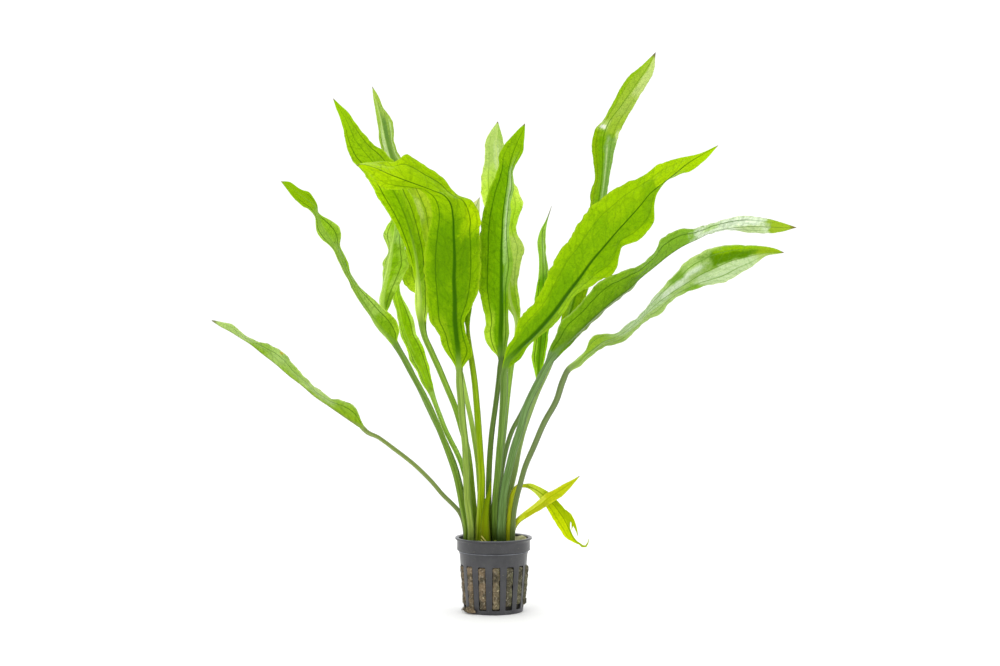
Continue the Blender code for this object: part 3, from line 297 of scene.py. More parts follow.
            (19, 8, 139), (24.4, 9, 149.5), (29, 10, 157),
        ],
        blade=[
            (32,11,163, 30.5,11,163.5, 33.5,11,162), (32.5,12,171, 29.5,12,171, 35,13,170),
            (33,13,180.5, 27.5,14,181, 37,15,179.5), (34,14,192, 29,16,192, 39,17,192),
            (35,16,205, 29.5,18,205, 41,20,205), (35.5,18,219.5, 29.5,20,219, 42,22,219.5),
            (36,20,232, 31,22,231, 41.5,25,232), (36,23,244.5, 33,24,243.5, 40,28,245.5),
            (36,26,256, 33,27,255.5, 38.5,30,257), (35.5,29,266.5, 32,29,266, 38,33,267),
            (36,31,275, 34.5,31,275, 38.5,34,275), (38.5,33,281, 38,33,281.5, 39.5,34,281),
        ],
    ),
    "leaf_tallest_right": dict(
        base=(9.6, 1.6), half_width=(1.9, 1.9), tip=(124, 83, 414.5),
        stalk=[
            (10, 2, 57.5), (10, 2, 68.5), (11, 3, 77.5), (12.5, 4, 87.5), (15.5, 5.5, 100.5),
            (18.2, 7, 115.5), (21.7, 9.5, 129), (26.4, 12, 142.5), (32, 14.5, 157), (38.4, 17, 170.5),
        ],
        blade=[
            (44,20,183, 42,20,184, 46,20,182.5), (48.5,22,194, 45.5,24,194.5, 53,24,193),
            (53.5,25,206.5, 49.5,29,208, 59.5,28,205.5), (58,28,219.5, 52.5,34,222, 65.5,31,219),
            (62,32,234.5, 55,38,237, 70.5,35,234), (66.5,37,251.5, 59,43,253.5, 75.5,39,251),
            (71,42,269, 65.5,48,270.5, 79.5,44,267.5), (76,48,286.5, 72,53,289.5, 82.5,49,285.5),
            (79,52,301.5, 72.5,57,303, 84.5,53,301), (81,56,314.5, 76,60,315, 86.5,56,314),
            (82,60,328, 75,63,329, 89,59,327), (82,63,338.5, 74,65,341, 91.5,62,338.5),
            (83.5,66,349.5, 76.5,67,353, 94.5,65,349), (87.5,69,359.5, 82.5,68,360, 99,69,358.5),
            (95,72,369.5, 89.5,71,372.5, 105,73,369), (103,75,381, 96.5,73,386, 112.5,77,382),
            (111.5,78,393.5, 104,76,396, 118.5,80,391.5), (118,80,403.5, 113.5,79,404, 122.5,82,400.5),
        ],
    ),
    "leaf_big_right": dict(
        base=(1.4, -5), half_width=(2.3, 2.7), tip=(153.5, -60, 327),
        stalk=[
            (1, -5, 58.5), (1, -6, 69.5), (1.5, -7, 80), (3, -8.5, 96.5), (4.5, -10, 114.5), (6, -12, 130.5),
            (7, -14, 146), (7.5, -16, 160), (7.5, -17.5, 168.5),
        ],
        blade=[
            (8.5,-18.5,174.5, 6,-18.5,175, 10.5,-18.5,173.5), (10,-19.5,179.5, 7.5,-18,181.5, 15.5,-17,178),
            (14.5,-21,184.5, 10,-19,189.5, 19.5,-18,181.5), (20,-23,190, 14.5,-20,196.5, 23.5,-20,188.5),
            (27,-25,196.5, 18,-20,208.5, 30.5,-22,195), (36,-27,206, 24.5,-21,215.5, 42,-23,204.5),
            (44.5,-29,216.5, 31.5,-22,224.5, 49,-24,212.5), (52,-31,227, 38,-23,238.5, 56,-26,224.5),
            (60.5,-33,238, 44.5,-24,253.5, 65,-26,230), (68.5,-35,249, 53,-25,264, 74.5,-27,236),
            (77,-37,259, 59.5,-26,275.5, 85.5,-28,242.5), (85.5,-39,269, 68.5,-28,287, 89,-32,258),
            (94.5,-41,279, 78.5,-31,295, 102,-33,264.5), (102,-43,287.5, 89.5,-34,302, 111,-37,276),
            (108.5,-45,295.5, 102,-38,307, 112,-43,292), (116,-47,301.5, 111.5,-41,313.5, 118.5,-45.5,303),
            (125,-50,308.5, 122,-45,318, 128,-46,308), (133,-53,315, 131.5,-50,320, 137,-50,311),
            (142,-56,320.5, 140.5,-55,321.5, 146,-55,318.5),
        ],
    ),
    "leaf_arching_right": dict(
        base=(5.6, -9.4), half_width=(2.8, 2.3), tip=(217, -2, 274.5),
        stalk=[
            (5.5, -9.5, 59), (6, -9.5, 68.5), (6.5, -10, 77.5), (8, -10.5, 89.5), (11, -11, 102.5),
            (14.5, -11.5, 117), (19, -12, 131), (22.5, -13, 144.5), (28.5, -13, 158), (34, -13.5, 168.5),
            (39, -14, 178),
        ],
        blade=[
            (44,-14,185, 39,-14,186.5, 47,-14,183), (52,-14,192.5, 43.5,-16,196.5, 54.5,-11,190.5),
            (60,-14,200, 47.5,-19,207, 62.5,-7,198.5), (68.5,-14,208, 57.5,-22,216, 70.5,-4,207),
            (77,-14,215.5, 65.5,-24,226, 79.5,-2,215), (86,-13.5,223, 76.5,-25,236.5, 89,0,223.5),
            (95.5,-13,230, 91,-25,243, 99.5,1,231.5), (104.5,-12,238.5, 103,-24,247, 108,3,241.5),
            (114.5,-11,246.5, 112,-23,255.5, 117.5,5,250), (124.5,-10,254.5, 119.5,-21,266.5, 128,6,259),
            (134.5,-9,261, 131.5,-19,272.5, 137.5,7,264.5), (145,-8,266, 144,-17,273.5, 147.5,8,270),
            (156.5,-7,271.5, 156,-14,277.5, 159,6,272), (169.5,-6,274, 169,-10,281, 170.5,2,273),
            (181.5,-5,275, 180.5,-8,282.5, 182.5,1,271.5), (193,-4,275, 193,-6,281, 194,1,270.5),
            (205,-3,274.5, 204.5,-4,278.5, 205.5,0,271.5),
        ],
    ),
    "leaf_low_right": dict(
        base=(13.4, -7.6), half_width=(1.6, 2.1), tip=(199, -55, 254),
        stalk=[
            (13.7, -8, 59), (14.5, -8.5, 71), (16.2, -9.5, 80.5), (19.1, -10, 92), (22.5, -11, 104),
            (28.5, -11.5, 118), (36, -12.5, 135.5), (44.5, -13.5, 151), (49.5, -14.5, 166),
        ],
        blade=[
            (53,-15,173.5, 51.5,-15,174.5, 54.5,-15,171.5), (59.5,-15.5,178, 58.5,-16,180.5, 61.5,-14.5,175.5),
            (65,-16.5,184, 65,-18,187, 66.5,-13,180.5), (70,-18,187.5, 67.5,-22,194, 73,-11,186),
            (77,-20,193, 74.5,-26,198.5, 79.5,-10,189.5), (86,-22,196.5, 84.5,-30,199, 89.5,-11,192),
            (95,-24,202.5, 92.5,-33,204.5, 99,-12,199.5), (105,-27,211.5, 102,-36,212.5, 108.5,-15,208),
            (113.5,-30,219.5, 110,-38,222, 118.5,-18,214), (123,-33,226.5, 117,-40,231, 127.5,-22,223.5),
            (133,-36,233, 125.5,-42,240, 139,-26,229.5), (143.5,-39,239.5, 135.5,-44,250.5, 150.5,-31,232.5),
            (154,-42,244.5, 147.5,-46,256.5, 162.5,-36,235.5), (164.5,-45,249, 159.5,-48,259.5, 172,-40,241),
            (174.5,-48,251.5, 173,-50,259.5, 178.5,-45,245), (184.5,-51,253.5, 185,-52,258.5, 187.5,-49,252),
            (192.5,-53,254, 193,-53,257, 193.5,-52,253),
        ],
    ),
    "leaf_small_straight": dict(
        base=(13.4, -2), half_width=(1.7, 1.9), tip=(61, -21, 98.5),
        stalk=[
            (13.6, -2.5, 57.5), (15.2, -3.5, 62), (18.5, -5, 66),
        ],
        blade=[
            (22,-6.5,69, 21,-6.5,71, 23.5,-6.5,67), (27.5,-8.5,73, 26,-9,75, 29,-8,70.5),
            (33.5,-11,77.5, 32,-12,80.5, 35.5,-10,74.5), (39.5,-13,82.5, 37.5,-14,85.5, 41.5,-12,78.5),
            (45.5,-15,86.5, 43.5,-16,88.5, 48,-14,83), (51,-17,90.5, 49,-18,92, 52.5,-16,87.5),
            (55.5,-19,94, 54.5,-19.5,95, 57,-18.5,93),
        ],
    ),
    "leaf_small_torn": dict(
        base=(10.5, -5.4), half_width=(2, 1.3), tip=(63.5, -9.5, 47.5),
        stalk=[
            (10.7, -5.8, 58.5), (11.4, -5.8, 69), (12.3, -5.2, 77.5), (14.4, -4.2, 86), (17.5, -3, 89.5),
        ],
        blade=[
            (21.5,-3,90, 21.2,-3,91, 21.9,-3,88.5), (26,-3.5,89, 26.5,-4,91.5, 25.5,-3,87.5),
            (31.5,-4,86.5, 33,-5,89, 30.5,-3.5,83.5), (36.5,-4.5,82.5, 39.5,-6,85.5, 34,-4,79.5),
            (42,-5,77.5, 45,-6.5,80, 38,-4.5,74), (46.5,-6,72, 50.5,-7,74, 41.5,-5.5,68),
            (50.5,-7,66, 55,-7.5,69, 44.5,-6,63), (53.5,-7.5,60, 54.5,-8,60.5, 48,-7,58),
            (56,-8,54.5, 56.5,-8.5,55, 51.5,-8,53), (58.5,-9,50.5, 59,-9,51.5, 57,-9,50),
        ],
    ),
    "young_shoot": dict(
        base=(-6, -10.4), half_width=(3.4, 1), tip=(-2, -9, 95),
        stalk=[
            (-6, -10.5, 59), (-6, -10.5, 66), (-5.5, -10, 72.5), (-4.5, -10, 79.5), (-3, -9.5, 85),
        ],
        blade=[
            (-2.5,-9,89, -3.5,-9,89, -1.5,-9,88.5), (-2,-9,92.5, -2.5,-9,92.5, -1.5,-9,92),
        ],
    ),
}

# Ribbons of torn blade, as rows of (x, y, z, half width).
TATTERS = {
    "leaf_small_torn": (
        ((51.0, -7.2, 72.4, 1.0), (54.0, -7.5, 69.0, 1.8), (56.4, -7.8, 65.0, 1.5), (58.0, -8.2, 61.4, 1.05),
         (59.2, -8.8, 58.0, 0.6), (60.1, -9.0, 54.6, 0.18)),
        ((56.2, -7.8, 63.8, 0.8), (56.1, -7.6, 61.0, 0.5), (55.5, -7.9, 58.8, 0.15)),
        ((60.0, -9.2, 50.0, 0.6), (63.2, -9.5, 47.4, 0.9), (65.6, -10.2, 47.4, 0.75), (67.0, -11.0, 49.8, 0.45),
         (67.6, -11.6, 52.8, 0.18)),
    ),
}


# ---------------------------------------------------------------- shader helpers

def linear(colour):
    """Linear light of an 8-bit sRGB colour."""
    shares = [c / 255 for c in colour]
    return tuple(c / 12.92 if c <= 0.04045 else ((c + 0.055) / 1.055) ** 2.4 for c in shares)


class Graph:
    """The node tree of a material or of the world, with short ways to add nodes and join them."""

    def __init__(self, name, kind="materials"):
        self.owner = getattr(bpy.data, kind).new(name)
        self.owner.use_nodes = True
        self.tree = self.owner.node_tree
        self.tree.nodes.clear()

    def add(self, kind, inputs=None, **settings):
        node = self.tree.nodes.new(kind)
        for key, value in settings.items():
            setattr(node, key, value)
        for key, value in (inputs or {}).items():
            self.feed(node.inputs[key], value)
        return node

    def feed(self, socket, value):
        if isinstance(value, bpy.types.NodeSocket):
            self.tree.links.new(value, socket)
        elif socket.type == "RGBA":
            socket.default_value = (*linear(value), 1.0)
        else:
            socket.default_value = value

    def attribute(self, name):
        return self.add("ShaderNodeAttribute", attribute_name=name).outputs["Fac"]

    def math(self, operation, *values):
        node = self.add("ShaderNodeMath", operation=operation)
        for socket, value in zip(node.inputs, values):
            self.feed(socket, value)
        return node.outputs[0]

    def times(self, first, *others):
        for other in others:
            first = self.math("MULTIPLY", first, other)
        return first

    def plus(self, first, second):
        return self.math("ADD", first, second)

    def minus(self, first, second):
        return self.math("SUBTRACT", first, second)

    def step(self, value, low, high, at_low=0.0, at_high=1.0):
        """A smooth step of value, from at_low at low to at_high at high."""
        node = self.add("ShaderNodeMapRange", interpolation_type="SMOOTHSTEP")
        for key, number in zip(("Value", "From Min", "From Max", "To Min", "To Max"),
                               (value, low, high, at_low, at_high)):
            self.feed(node.inputs[key], number)
        return node.outputs[0]

    def band(self, value, low, high, soft):
        """1 where value lies between low and high, fading out over soft on both sides."""
        rising = self.step(value, low - soft, low + soft)
        falling = self.step(value, high - soft, high + soft, 1.0, 0.0)
        return self.times(rising, falling)

    def mix(self, factor, first, second, blend="MIX"):
        node = self.add("ShaderNodeMix", data_type="RGBA", blend_type=blend)
        for index, value in ((0, factor), (6, first), (7, second)):
            self.feed(node.inputs[index], value)
        return node.outputs[2]

    def layers(self, colour, *layers):
        """Colours laid over a colour: (value, low, high, share at low, share at high, colour)."""
        for value, low, high, at_low, at_high, tint in layers:
            colour = self.mix(self.step(value, low, high, at_low, at_high), colour, tint)
        return colour

    def vector(self, x, y, z=0.0):
        return self.add("ShaderNodeCombineXYZ", {"X": x, "Y": y, "Z": z}).outputs[0]

    def axis(self, vector, name):
        return self.add("ShaderNodeSeparateXYZ", {0: vector}).outputs[name]

    def place(self):
        return self.add("ShaderNodeTexCoord").outputs["Object"]

    def noise(self, where, scale, detail=2.0, roughness=0.5):
        inputs = {"Vector": where, "Scale": scale, "Detail": detail, "Roughness": roughness}
        return self.add("ShaderNodeTexNoise", inputs).outputs["Fac"]

    def net(self, where, scale, width):
        """1 on the lines between a Voronoi pattern's cells, 0 inside them."""
        inputs = {"Vector": where, "Scale": scale}
        cells = self.add("ShaderNodeTexVoronoi", inputs, feature="DISTANCE_TO_EDGE")
        return self.step(cells.outputs["Distance"], 0.0, width, 1.0, 0.0)

    def bump(self, height, distance, strength=1.0):
        """A normal for relief whose height is distance millimetres."""
        inputs = {"Height": height, "Distance": distance * MM, "Strength": strength}
        return self.add("ShaderNodeBump", inputs).outputs[0]

    def surface(self, shader, kind="ShaderNodeOutputMaterial"):
        """The finished material or world, whose last shader node is given."""
        self.tree.links.new(shader.outputs[0], self.add(kind).inputs["Surface"])
        return self.owner

    def coat(self, colour, roughness, specular, **more):
        """A material with one principled shader."""
        inputs = {"Base Color": colour, "Roughness": roughness, "Specular IOR Level": specular, **more}
        return self.surface(self.add("ShaderNodeBsdfPrincipled", inputs))


# ---------------------------------------------------------------- leaf material

BROWN = (120, 104, 50)
GREEN_SHEEN = (255, 255, 80)  # the sheen of a leaf looked at straight on

# A leaf's colours: of its blade (bright where it is thin, deep elsewhere), of its veins and margin, and of
# its stalk from left to right at the blade and at the foot, its own colour with painted light and shade
# from side to side. Shares and gains say how strong they are; the gains are highest on leaves and stalks
# that lie in the others' shade, as painted light. A mark is (rise from, rise to, across from, across to,
# colour, strength) and at times how softly it fades out along the blade; rise goes from 0 to 1 along the
# blade, across from -1 to 1 over it. Pale and whitish marks are painted sheen and highlights.
LEAF_LOOK = dict(
    bright=(160, 202, 4), deep=(116, 166, 2), margin=0.5, gain=1.1, marks=(),
    vein=(62, 114, 2), veins=1.0, side_vein=0.78,
    edge=(190, 214, 84), edge_deep=(128, 152, 22), edge_share=0.3,
    rib=(56, 108, 2), rib_width=1.4, rib_low=None, rib_turn=0.4, core=0.5,
    stalk=((116, 152, 62), (94, 134, 52), (92, 130, 60)), stalk_gain=1.0,
    foot=((116, 152, 56), (96, 136, 44), (72, 112, 20)), foot_shade=0.45,
    tip=BROWN, tip_share=0.004,
)
RIB_CORE = (34, 88, 0)  # the dark groove along the midrib
SPOT_TINT = (196, 215, 188)  # multiplied in, on small dark spots of a blade: its own mottling and painted shade of its crinkles
GLINT_TINT = (288, 276, 262)  # multiplied in, on small bright spots: painted glints
# The painted shade at the stalks' feet.
FOOT_DARK = (24, 42, 4)
WARMTH = 1.07  # how much more a gain adds to red, on blades and on stalks
STALK_WARMTH = 1.04
LEAF_FACTS = ("across", "half", "course", "rise")  # kept with every point of a leaf


class LeafGraph(Graph):
    """A leaf's node tree, with what its parts share: places on the leaf, and noise by its scale."""

    def __init__(self, name):
        super().__init__(name)
        self.across, self.half, self.course, self.rise = (self.attribute(fact) for fact in LEAF_FACTS)
        self.side = self.math("ABSOLUTE", self.across)
        self.from_rib = self.times(self.across, self.half)
        self.rib_distance = self.math("ABSOLUTE", self.from_rib)
        self.where = self.place()
        self.patches = self.noise(self.where, 45.0, 3.0)
        self.dapple = self.noise(self.where, 190.0, 3.0, 0.6)
        self.mottle = self.noise(self.where, 520.0, 3.0, 0.6)
        self.crease = self.noise(self.where, 1000.0, 3.0, 0.65)
        self.drift = self.minus(self.noise(self.where, 95.0, 5.0, 0.66), 0.5)
        self.on_blade = self.step(self.rise, -0.012, 0.012)
        self.narrow_calm = self.step(self.half, 2.0, 8.0, 0.35, 1.0)


def mark_mask(g, mark):
    """Where a mark lies on the blade, with a soft and wandering outline."""
    rise_low, rise_high, across_low, across_high = mark[:4]
    tall, broad = rise_high - rise_low, across_high - across_low
    soft = mark[6] if len(mark) > 6 else min(0.03, 0.3 * tall)
    drift_along = g.times(g.drift, min(0.16, 0.8 * tall))
    drift_aside = g.times(g.drift, min(0.7, 0.8 * broad))
    along = g.band(g.plus(g.rise, drift_along), rise_low, rise_high, soft)
    aside = g.band(g.plus(g.across, drift_aside), across_low, across_high, min(0.12, 0.3 * broad))
    return g.times(along, aside, mark[5])


def sided(g, colours):
    """A colour that goes from left to right over a stalk: its own colour with painted light and shade."""
    left, middle, right = colours
    colour = g.mix(g.step(g.across, -0.75, -0.1), left, middle)
    return g.mix(g.step(g.across, 0.1, 0.75), colour, right)


def lifted(colour, gain, warmth=WARMTH):
    """An 8-bit sRGB colour with its light multiplied by gain, and a little warmer."""
    shares = [min(1.0, c * k) for c, k in zip(linear(colour), (gain * warmth, gain, gain))]
    return tuple(255 * (c * 12.92 if c <= 0.0031308 else 1.055 * c ** (1 / 2.4) - 0.055) for c in shares)


def blade_colour(g, look, deep, bright):
    """The blade's colour: brighter towards the margin and in patches, then its marks and small spots, which are
    its own mottling, painted crinkle shade and painted glints.
    """
    thin = g.step(g.side, look["margin"] - 0.3, look["margin"] + 0.5)
    for grain, middle, weight in ((g.patches, 0.48, 2.0), (g.dapple, 0.5, 1.5)):
        thin = g.plus(thin, g.times(g.minus(grain, middle), weight))
    blade = g.layers(deep, (thin, 0.0, 1.0, 0.0, 1.0, bright), (g.dapple, 0.56, 0.76, 0.0, 0.35, bright))
    for mark in look["marks"]:
        blade = g.mix(mark_mask(g, mark), blade, lifted(mark[4], look["gain"]))
    # Small spots: dark ones on the mottle, and on the crease grain painted shade and painted glints of the
    # crinkles.
    for grain, low, high, share, tint in (
        (g.mottle, 0.5, 0.72, 0.55, SPOT_TINT), (g.crease, 0.46, 0.32, 0.5, SPOT_TINT),
        (g.crease, 0.54, 0.70, 0.55, GLINT_TINT),
    ):
        spots = g.times(g.step(grain, low, high, 0.0, share), g.narrow_calm)
        blade = g.mix(spots, blade, tint, "MULTIPLY")
    return blade


def add_veins(g, look, blade):
    """The blade with its veins and margin line, and how strong the veins are as relief."""
    # Two nets of cross veins: a wide one that slants forwards, and a fine one.
    wide = g.step(g.half, 3.0, 9.0)
    slant = g.minus(g.times(g.course, 0.105), g.times(g.rib_distance, 0.10))
    cells = g.vector(g.times(g.from_rib, 0.095), g.plus(slant, g.times(g.drift, 0.9)))
    laterals = g.times(g.net(cells, 1.0, 0.10), wide)
    small = g.vector(g.times(g.from_rib, 0.30), g.plus(g.times(g.course, 0.34), g.times(g.drift, 2.0)))
    meshes = g.times(g.net(small, 1.0, 0.13), wide)
    blade = g.mix(g.times(laterals, 0.24 * look["veins"]), blade, look["vein"])
    blade = g.mix(g.times(meshes, 0.08 * look["veins"]), blade, look["vein"])
    lines = g.math("MAXIMUM", g.times(laterals, 0.5), g.times(meshes, 0.2))

    # The side veins that run along the blade: place as a share of the half width, width, strength.
    for share, width, strength in (
        (MAIN_VEIN, 0.58, look["side_vein"]), (FINE_VEINS[0], 0.4, 0.16), (FINE_VEINS[1], 0.4, 0.18),
    ):
        away = g.times(g.math("ABSOLUTE", g.minus(g.side, share)), g.half)
        line = g.step(away, 0.3 * width, width, 1.0, 0.0)
        line = g.times(line, g.step(g.rise, 0.72, 0.97, 1.0, 0.15), g.step(g.half, 2.5, 6.0, 0.2, 1.0))
        blade = g.mix(g.times(line, strength * look["veins"]), blade, look["vein"])
        lines = g.math("MAXIMUM", lines, g.times(line, strength))

    edge = g.mix(g.step(g.dapple, 0.36, 0.5), look["edge_deep"], lifted(look["edge"], look["gain"]))
    on_edge = g.times(g.step(g.side, 0.90, 0.985), g.step(g.half, 1.5, 4.0), look["edge_share"])
    return g.mix(on_edge, blade, edge), lines


def stalk_colour(g, look):
    """The stalk's colour, streaked by its fibres, with painted shade along its edges and at its foot, and its
    fibres as relief.
    """
    top_colours, foot_colours = (
        [lifted(c, look["stalk_gain"], STALK_WARMTH) for c in look[key]] for key in ("stalk", "foot")
    )
    darker, lighter = (lifted(top_colours[i], k, STALK_WARMTH) for i, k in ((1, 0.6), (0, 1.35)))
    fibres, threads = (
        g.noise(g.vector(g.times(g.across, fine), g.times(g.course, long)), 1.0, 3.0, 0.6)
        for fine, long in ((3.4, 0.012), (9.0, 0.05))
    )
    stalk = g.layers(
        g.mix(g.step(g.rise, -1.0, -0.25), sided(g, foot_colours), sided(g, top_colours)),
        (fibres, 0.51, 0.62, 0.0, 0.6, lighter), (fibres, 0.49, 0.38, 0.0, 0.65, darker),
        (threads, 0.53, 0.63, 0.0, 0.45, lighter), (threads, 0.47, 0.37, 0.0, 0.5, darker),
        # painted shade along both edges, which rounds the stalk
        (g.side, 0.72, 1.0, 0.0, 0.4, darker),
    )
    # Painted shade at the stalks' feet, near the pot's rim.
    low, high = FOOT_SHADE_Z
    shaded = g.times(g.step(g.axis(g.where, "Z"), low * MM, high * MM, 1.0, 0.0), look["foot_shade"])
    relief = g.times(g.minus(1.0, g.on_blade), g.plus(fibres, g.times(threads, 0.4)), 1.7)
    return g.mix(shaded, stalk, FOOT_DARK), relief


def add_rib(g, look, blade):
    """The blade with its midrib, the rib's dark groove and the leaf's tip, and where the rib is."""
    width = g.plus(g.step(g.rise, -0.02, 0.10, 2.6, look["rib_width"]),
                   g.step(g.rise, 0.1, 0.75, 0.0, 0.42 - look["rib_width"]))
    away = g.math("DIVIDE", g.rib_distance, width)
    rib = look["rib"]
    if look["rib_low"]:
        rib = g.mix(g.step(g.rise, look["rib_turn"] - 0.12, look["rib_turn"] + 0.12), look["rib_low"], rib)
    rib = g.mix(g.step(g.rise, -0.01, 0.08), look["stalk"][1], rib)
    on_rib = g.times(g.step(away, 0.45, 1.2, 1.0, 0.0), g.step(g.rise, 0.8, 1.0, 0.95, 0.35))
    blade = g.mix(g.times(on_rib, 0.8), blade, rib)
    core = g.step(away, 0.3, 0.78, look["core"], 0.0)
    core = g.times(core, g.step(g.rise, 0.02, 0.12), g.step(g.rise, 0.7, 1.0, 1.0, 0.3))
    blade = g.mix(core, blade, RIB_CORE)
    on_tip = g.step(g.rise, 1.0 - 4 * look["tip_share"], 1.0 - look["tip_share"])
    return g.mix(on_tip, blade, look["tip"]), on_rib


def leaf_material(name, changes):
    look = {**LEAF_LOOK, **changes}
    bright, deep = (lifted(look[key], look["gain"]) for key in ("bright", "deep"))
    g = LeafGraph(name)
    blade, lines = add_veins(g, look, blade_colour(g, look, deep, bright))
    blade, on_rib = add_rib(g, look, blade)
    stalk, fibre_relief = stalk_colour(g, look)
    colour = g.mix(g.on_blade, stalk, blade)
    relief = g.minus(g.plus(g.times(g.mottle, g.narrow_calm, 0.7), g.times(g.dapple, 1.2)), lines)
    normal = g.bump(g.plus(g.times(relief, g.on_blade), fibre_relief), LEAF_BUMP, 0.8)
    skin = g.add("ShaderNodeBsdfPrincipled", {
        "Base Color": colour, "Roughness": g.step(g.mottle, 0.3, 0.8, 0.28, 0.44), "Normal": normal,
        "IOR": 1.33, "Specular IOR Level": 0.36, "Specular Tint": GREEN_SHEEN,
    })
    # Light that comes through the blade, and much less through its rib and the stalk.
    glow = g.add("ShaderNodeBsdfTranslucent", {"Color": g.mix(0.1, colour, bright), "Normal": normal})
    share = g.times(g.step(g.on_blade, 0.0, 1.0, 0.06, 0.26), g.minus(1.0, g.times(on_rib, 0.8)))
    return g.surface(g.add("ShaderNodeMixShader", {0: share, 1: skin.outputs[0], 2: glow.outputs[0]}))


# ---------------------------------------------------------------- mesh helpers

def new_mesh(name, verts, faces, **facts):
    """A mesh whose faces look outwards; facts are numbers that its vertices carry."""
    mesh = bpy.data.meshes.new(name)
    mesh.from_pydata(verts, [], faces)
    for fact, values in facts.items():
        mesh.attributes.new(fact, "FLOAT", "POINT").data.foreach_set("value", values)
    work = bmesh.new()
    work.from_mesh(mesh)
    bmesh.ops.recalc_face_normals(work, faces=work.faces)
    work.to_mesh(mesh)
    work.free()
    return mesh


def ring_quads(first, rings, around):
    """Quads between rings of vertices that follow each other, from vertex number first."""
    faces = []
    for row in range(first, first + (rings - 1) * around, around):
        for j in range(around):
            k = (j + 1) % around
            faces.append((row + j, row + k, row + around + k, row + around + j))
    return faces


def fan(first, around, centre):
    """Triangles from a ring to a vertex in its middle."""
    return [(first + j, first + (j + 1) % around, centre) for j in range(around)]


def tube_faces(first, rings, around):
    """Quads between rings, with a face over each end."""
    last = first + (rings - 1) * around
    ends = [tuple(range(first + around - 1, first - 1, -1)), tuple(range(last, last + around))]
    return ring_quads(first, rings, around) + ends


# ---------------------------------------------------------------- leaf shape

def leaf_rows(leaf):
    """The table as arrays: points (row, middle/left/right, xyz), rib half thickness, and 1 on the blade."""
    blade = np.array(leaf["blade"], float).reshape(-1, 3, 3)
    stalk = np.array([(*leaf["base"], LEAF_FOOT_Z)] + leaf["stalk"], float)
    centres = np.vstack([stalk, blade[:1, 0]])
    along = np.gradient(centres, axis=0)[:-1]
    along[0] = (0, 0, 1)
    along /= np.linalg.norm(along, axis=1, keepdims=True)
    across = blade[0, 2] - blade[0, 1]
    across = across - along * (along @ across)[:, None]
    across /= np.linalg.norm(across, axis=1, keepdims=True)
    foot_half, top_half = leaf["half_width"]
    half = np.linspace(foot_half, top_half, len(stalk), endpoint=False)[:, None] * STALK_FULLNESS
    half *= 1 + SHEATH_FULLNESS * np.exp(-(stalk[:, 2:] - LEAF_FOOT_Z) / SHEATH_REACH)
    stalk_rows = np.stack([stalk, stalk - across * half, stalk + across * half], axis=1)
    tip = np.repeat(np.array([[leaf["tip"]]], float), 3, axis=1)
    points = np.vstack([stalk_rows, blade, tip])
    rib = np.concatenate([half[:, 0], np.linspace(top_half, RIB_TIP_HALF, len(blade) + 1)])
    is_blade = np.concatenate([np.zeros(len(stalk)), np.ones(len(blade) + 1)])
    return points, rib * STALK_FLATNESS, is_blade


def smoothed(values, knots, places):
    """A smooth curve through values at the knots, read at other places."""
    shape = values.shape
    flat = values.reshape(len(values), -1)
    gaps = np.diff(knots)[:, None]
    slopes = np.diff(flat, axis=0) / gaps
    middle = (slopes[:-1] * gaps[1:] + slopes[1:] * gaps[:-1]) / (gaps[:-1] + gaps[1:])
    tangents = np.vstack([slopes[:1], middle, slopes[-1:]])
    index = np.clip(np.searchsorted(knots, places, side="right") - 1, 0, len(knots) - 2)
    gap = gaps[index]
    t = ((places - knots[index]) / gap[:, 0])[:, None]
    found = (
        (2 * t**3 - 3 * t**2 + 1) * flat[index] + (t**3 - 2 * t**2 + t) * gap * tangents[index]
        + (3 * t**2 - 2 * t**3) * flat[index + 1] + (t**3 - t**2) * gap * tangents[index + 1]
    )
    return found.reshape(len(places), *shape[1:])


def wobble(x, seed, waves=4):
    """A smooth repeatable wander between about -1 and 1."""
    chance = np.random.default_rng(seed)
    total = np.zeros_like(x)
    for wave in range(waves):
        total += np.sin(x * (1 + 0.83 * wave) + chance.uniform(0, 2 * pi)) / (1 + 0.6 * wave)
    return total / 2.2


def unit(vectors):
    return vectors / np.maximum(np.linalg.norm(vectors, axis=-1, keepdims=True), 1e-9)


def eased(vectors, rounds=8):
    """Unit vectors evened out along the leaf, so that its faces turn without a jolt."""
    for _ in range(rounds):
        vectors = np.vstack([vectors[:1], vectors[:-2] + 2 * vectors[1:-1] + vectors[2:], vectors[-1:]])
        vectors = unit(vectors)
    return vectors


def ring_places(knots, foot):
    """Places of the rings: close together on the blade, further apart on the stalk."""
    places = []
    for start, end in zip(knots, knots[1:]):
        gap = STALK_RING_GAP if end <= foot else BLADE_RING_GAP
        count = max(2, round((end - start) / gap))
        places.append(np.linspace(start, end, count, endpoint=False))
    return np.concatenate(places)


def strip_faces(count, around):
    """Triangles of a tube of rings. Behind, they are split along the same lines as in front."""
    faces = []
    for i in range(count - 1):
        for j in range(around):
            k = (j + 1) % around
            a, b, c, d = i * around + j, i * around + k, (i + 1) * around + k, (i + 1) * around + j
            faces += [(a, b, c), (a, c, d)] if j < around // 2 else [(a, b, d), (b, c, d)]
    last = (count - 1) * around
    for j in range(around):
        k = (j + 1) % around
        faces.append((k, j, count * around))
        faces.append((last + j, last + k, count * around + 1))
    return faces


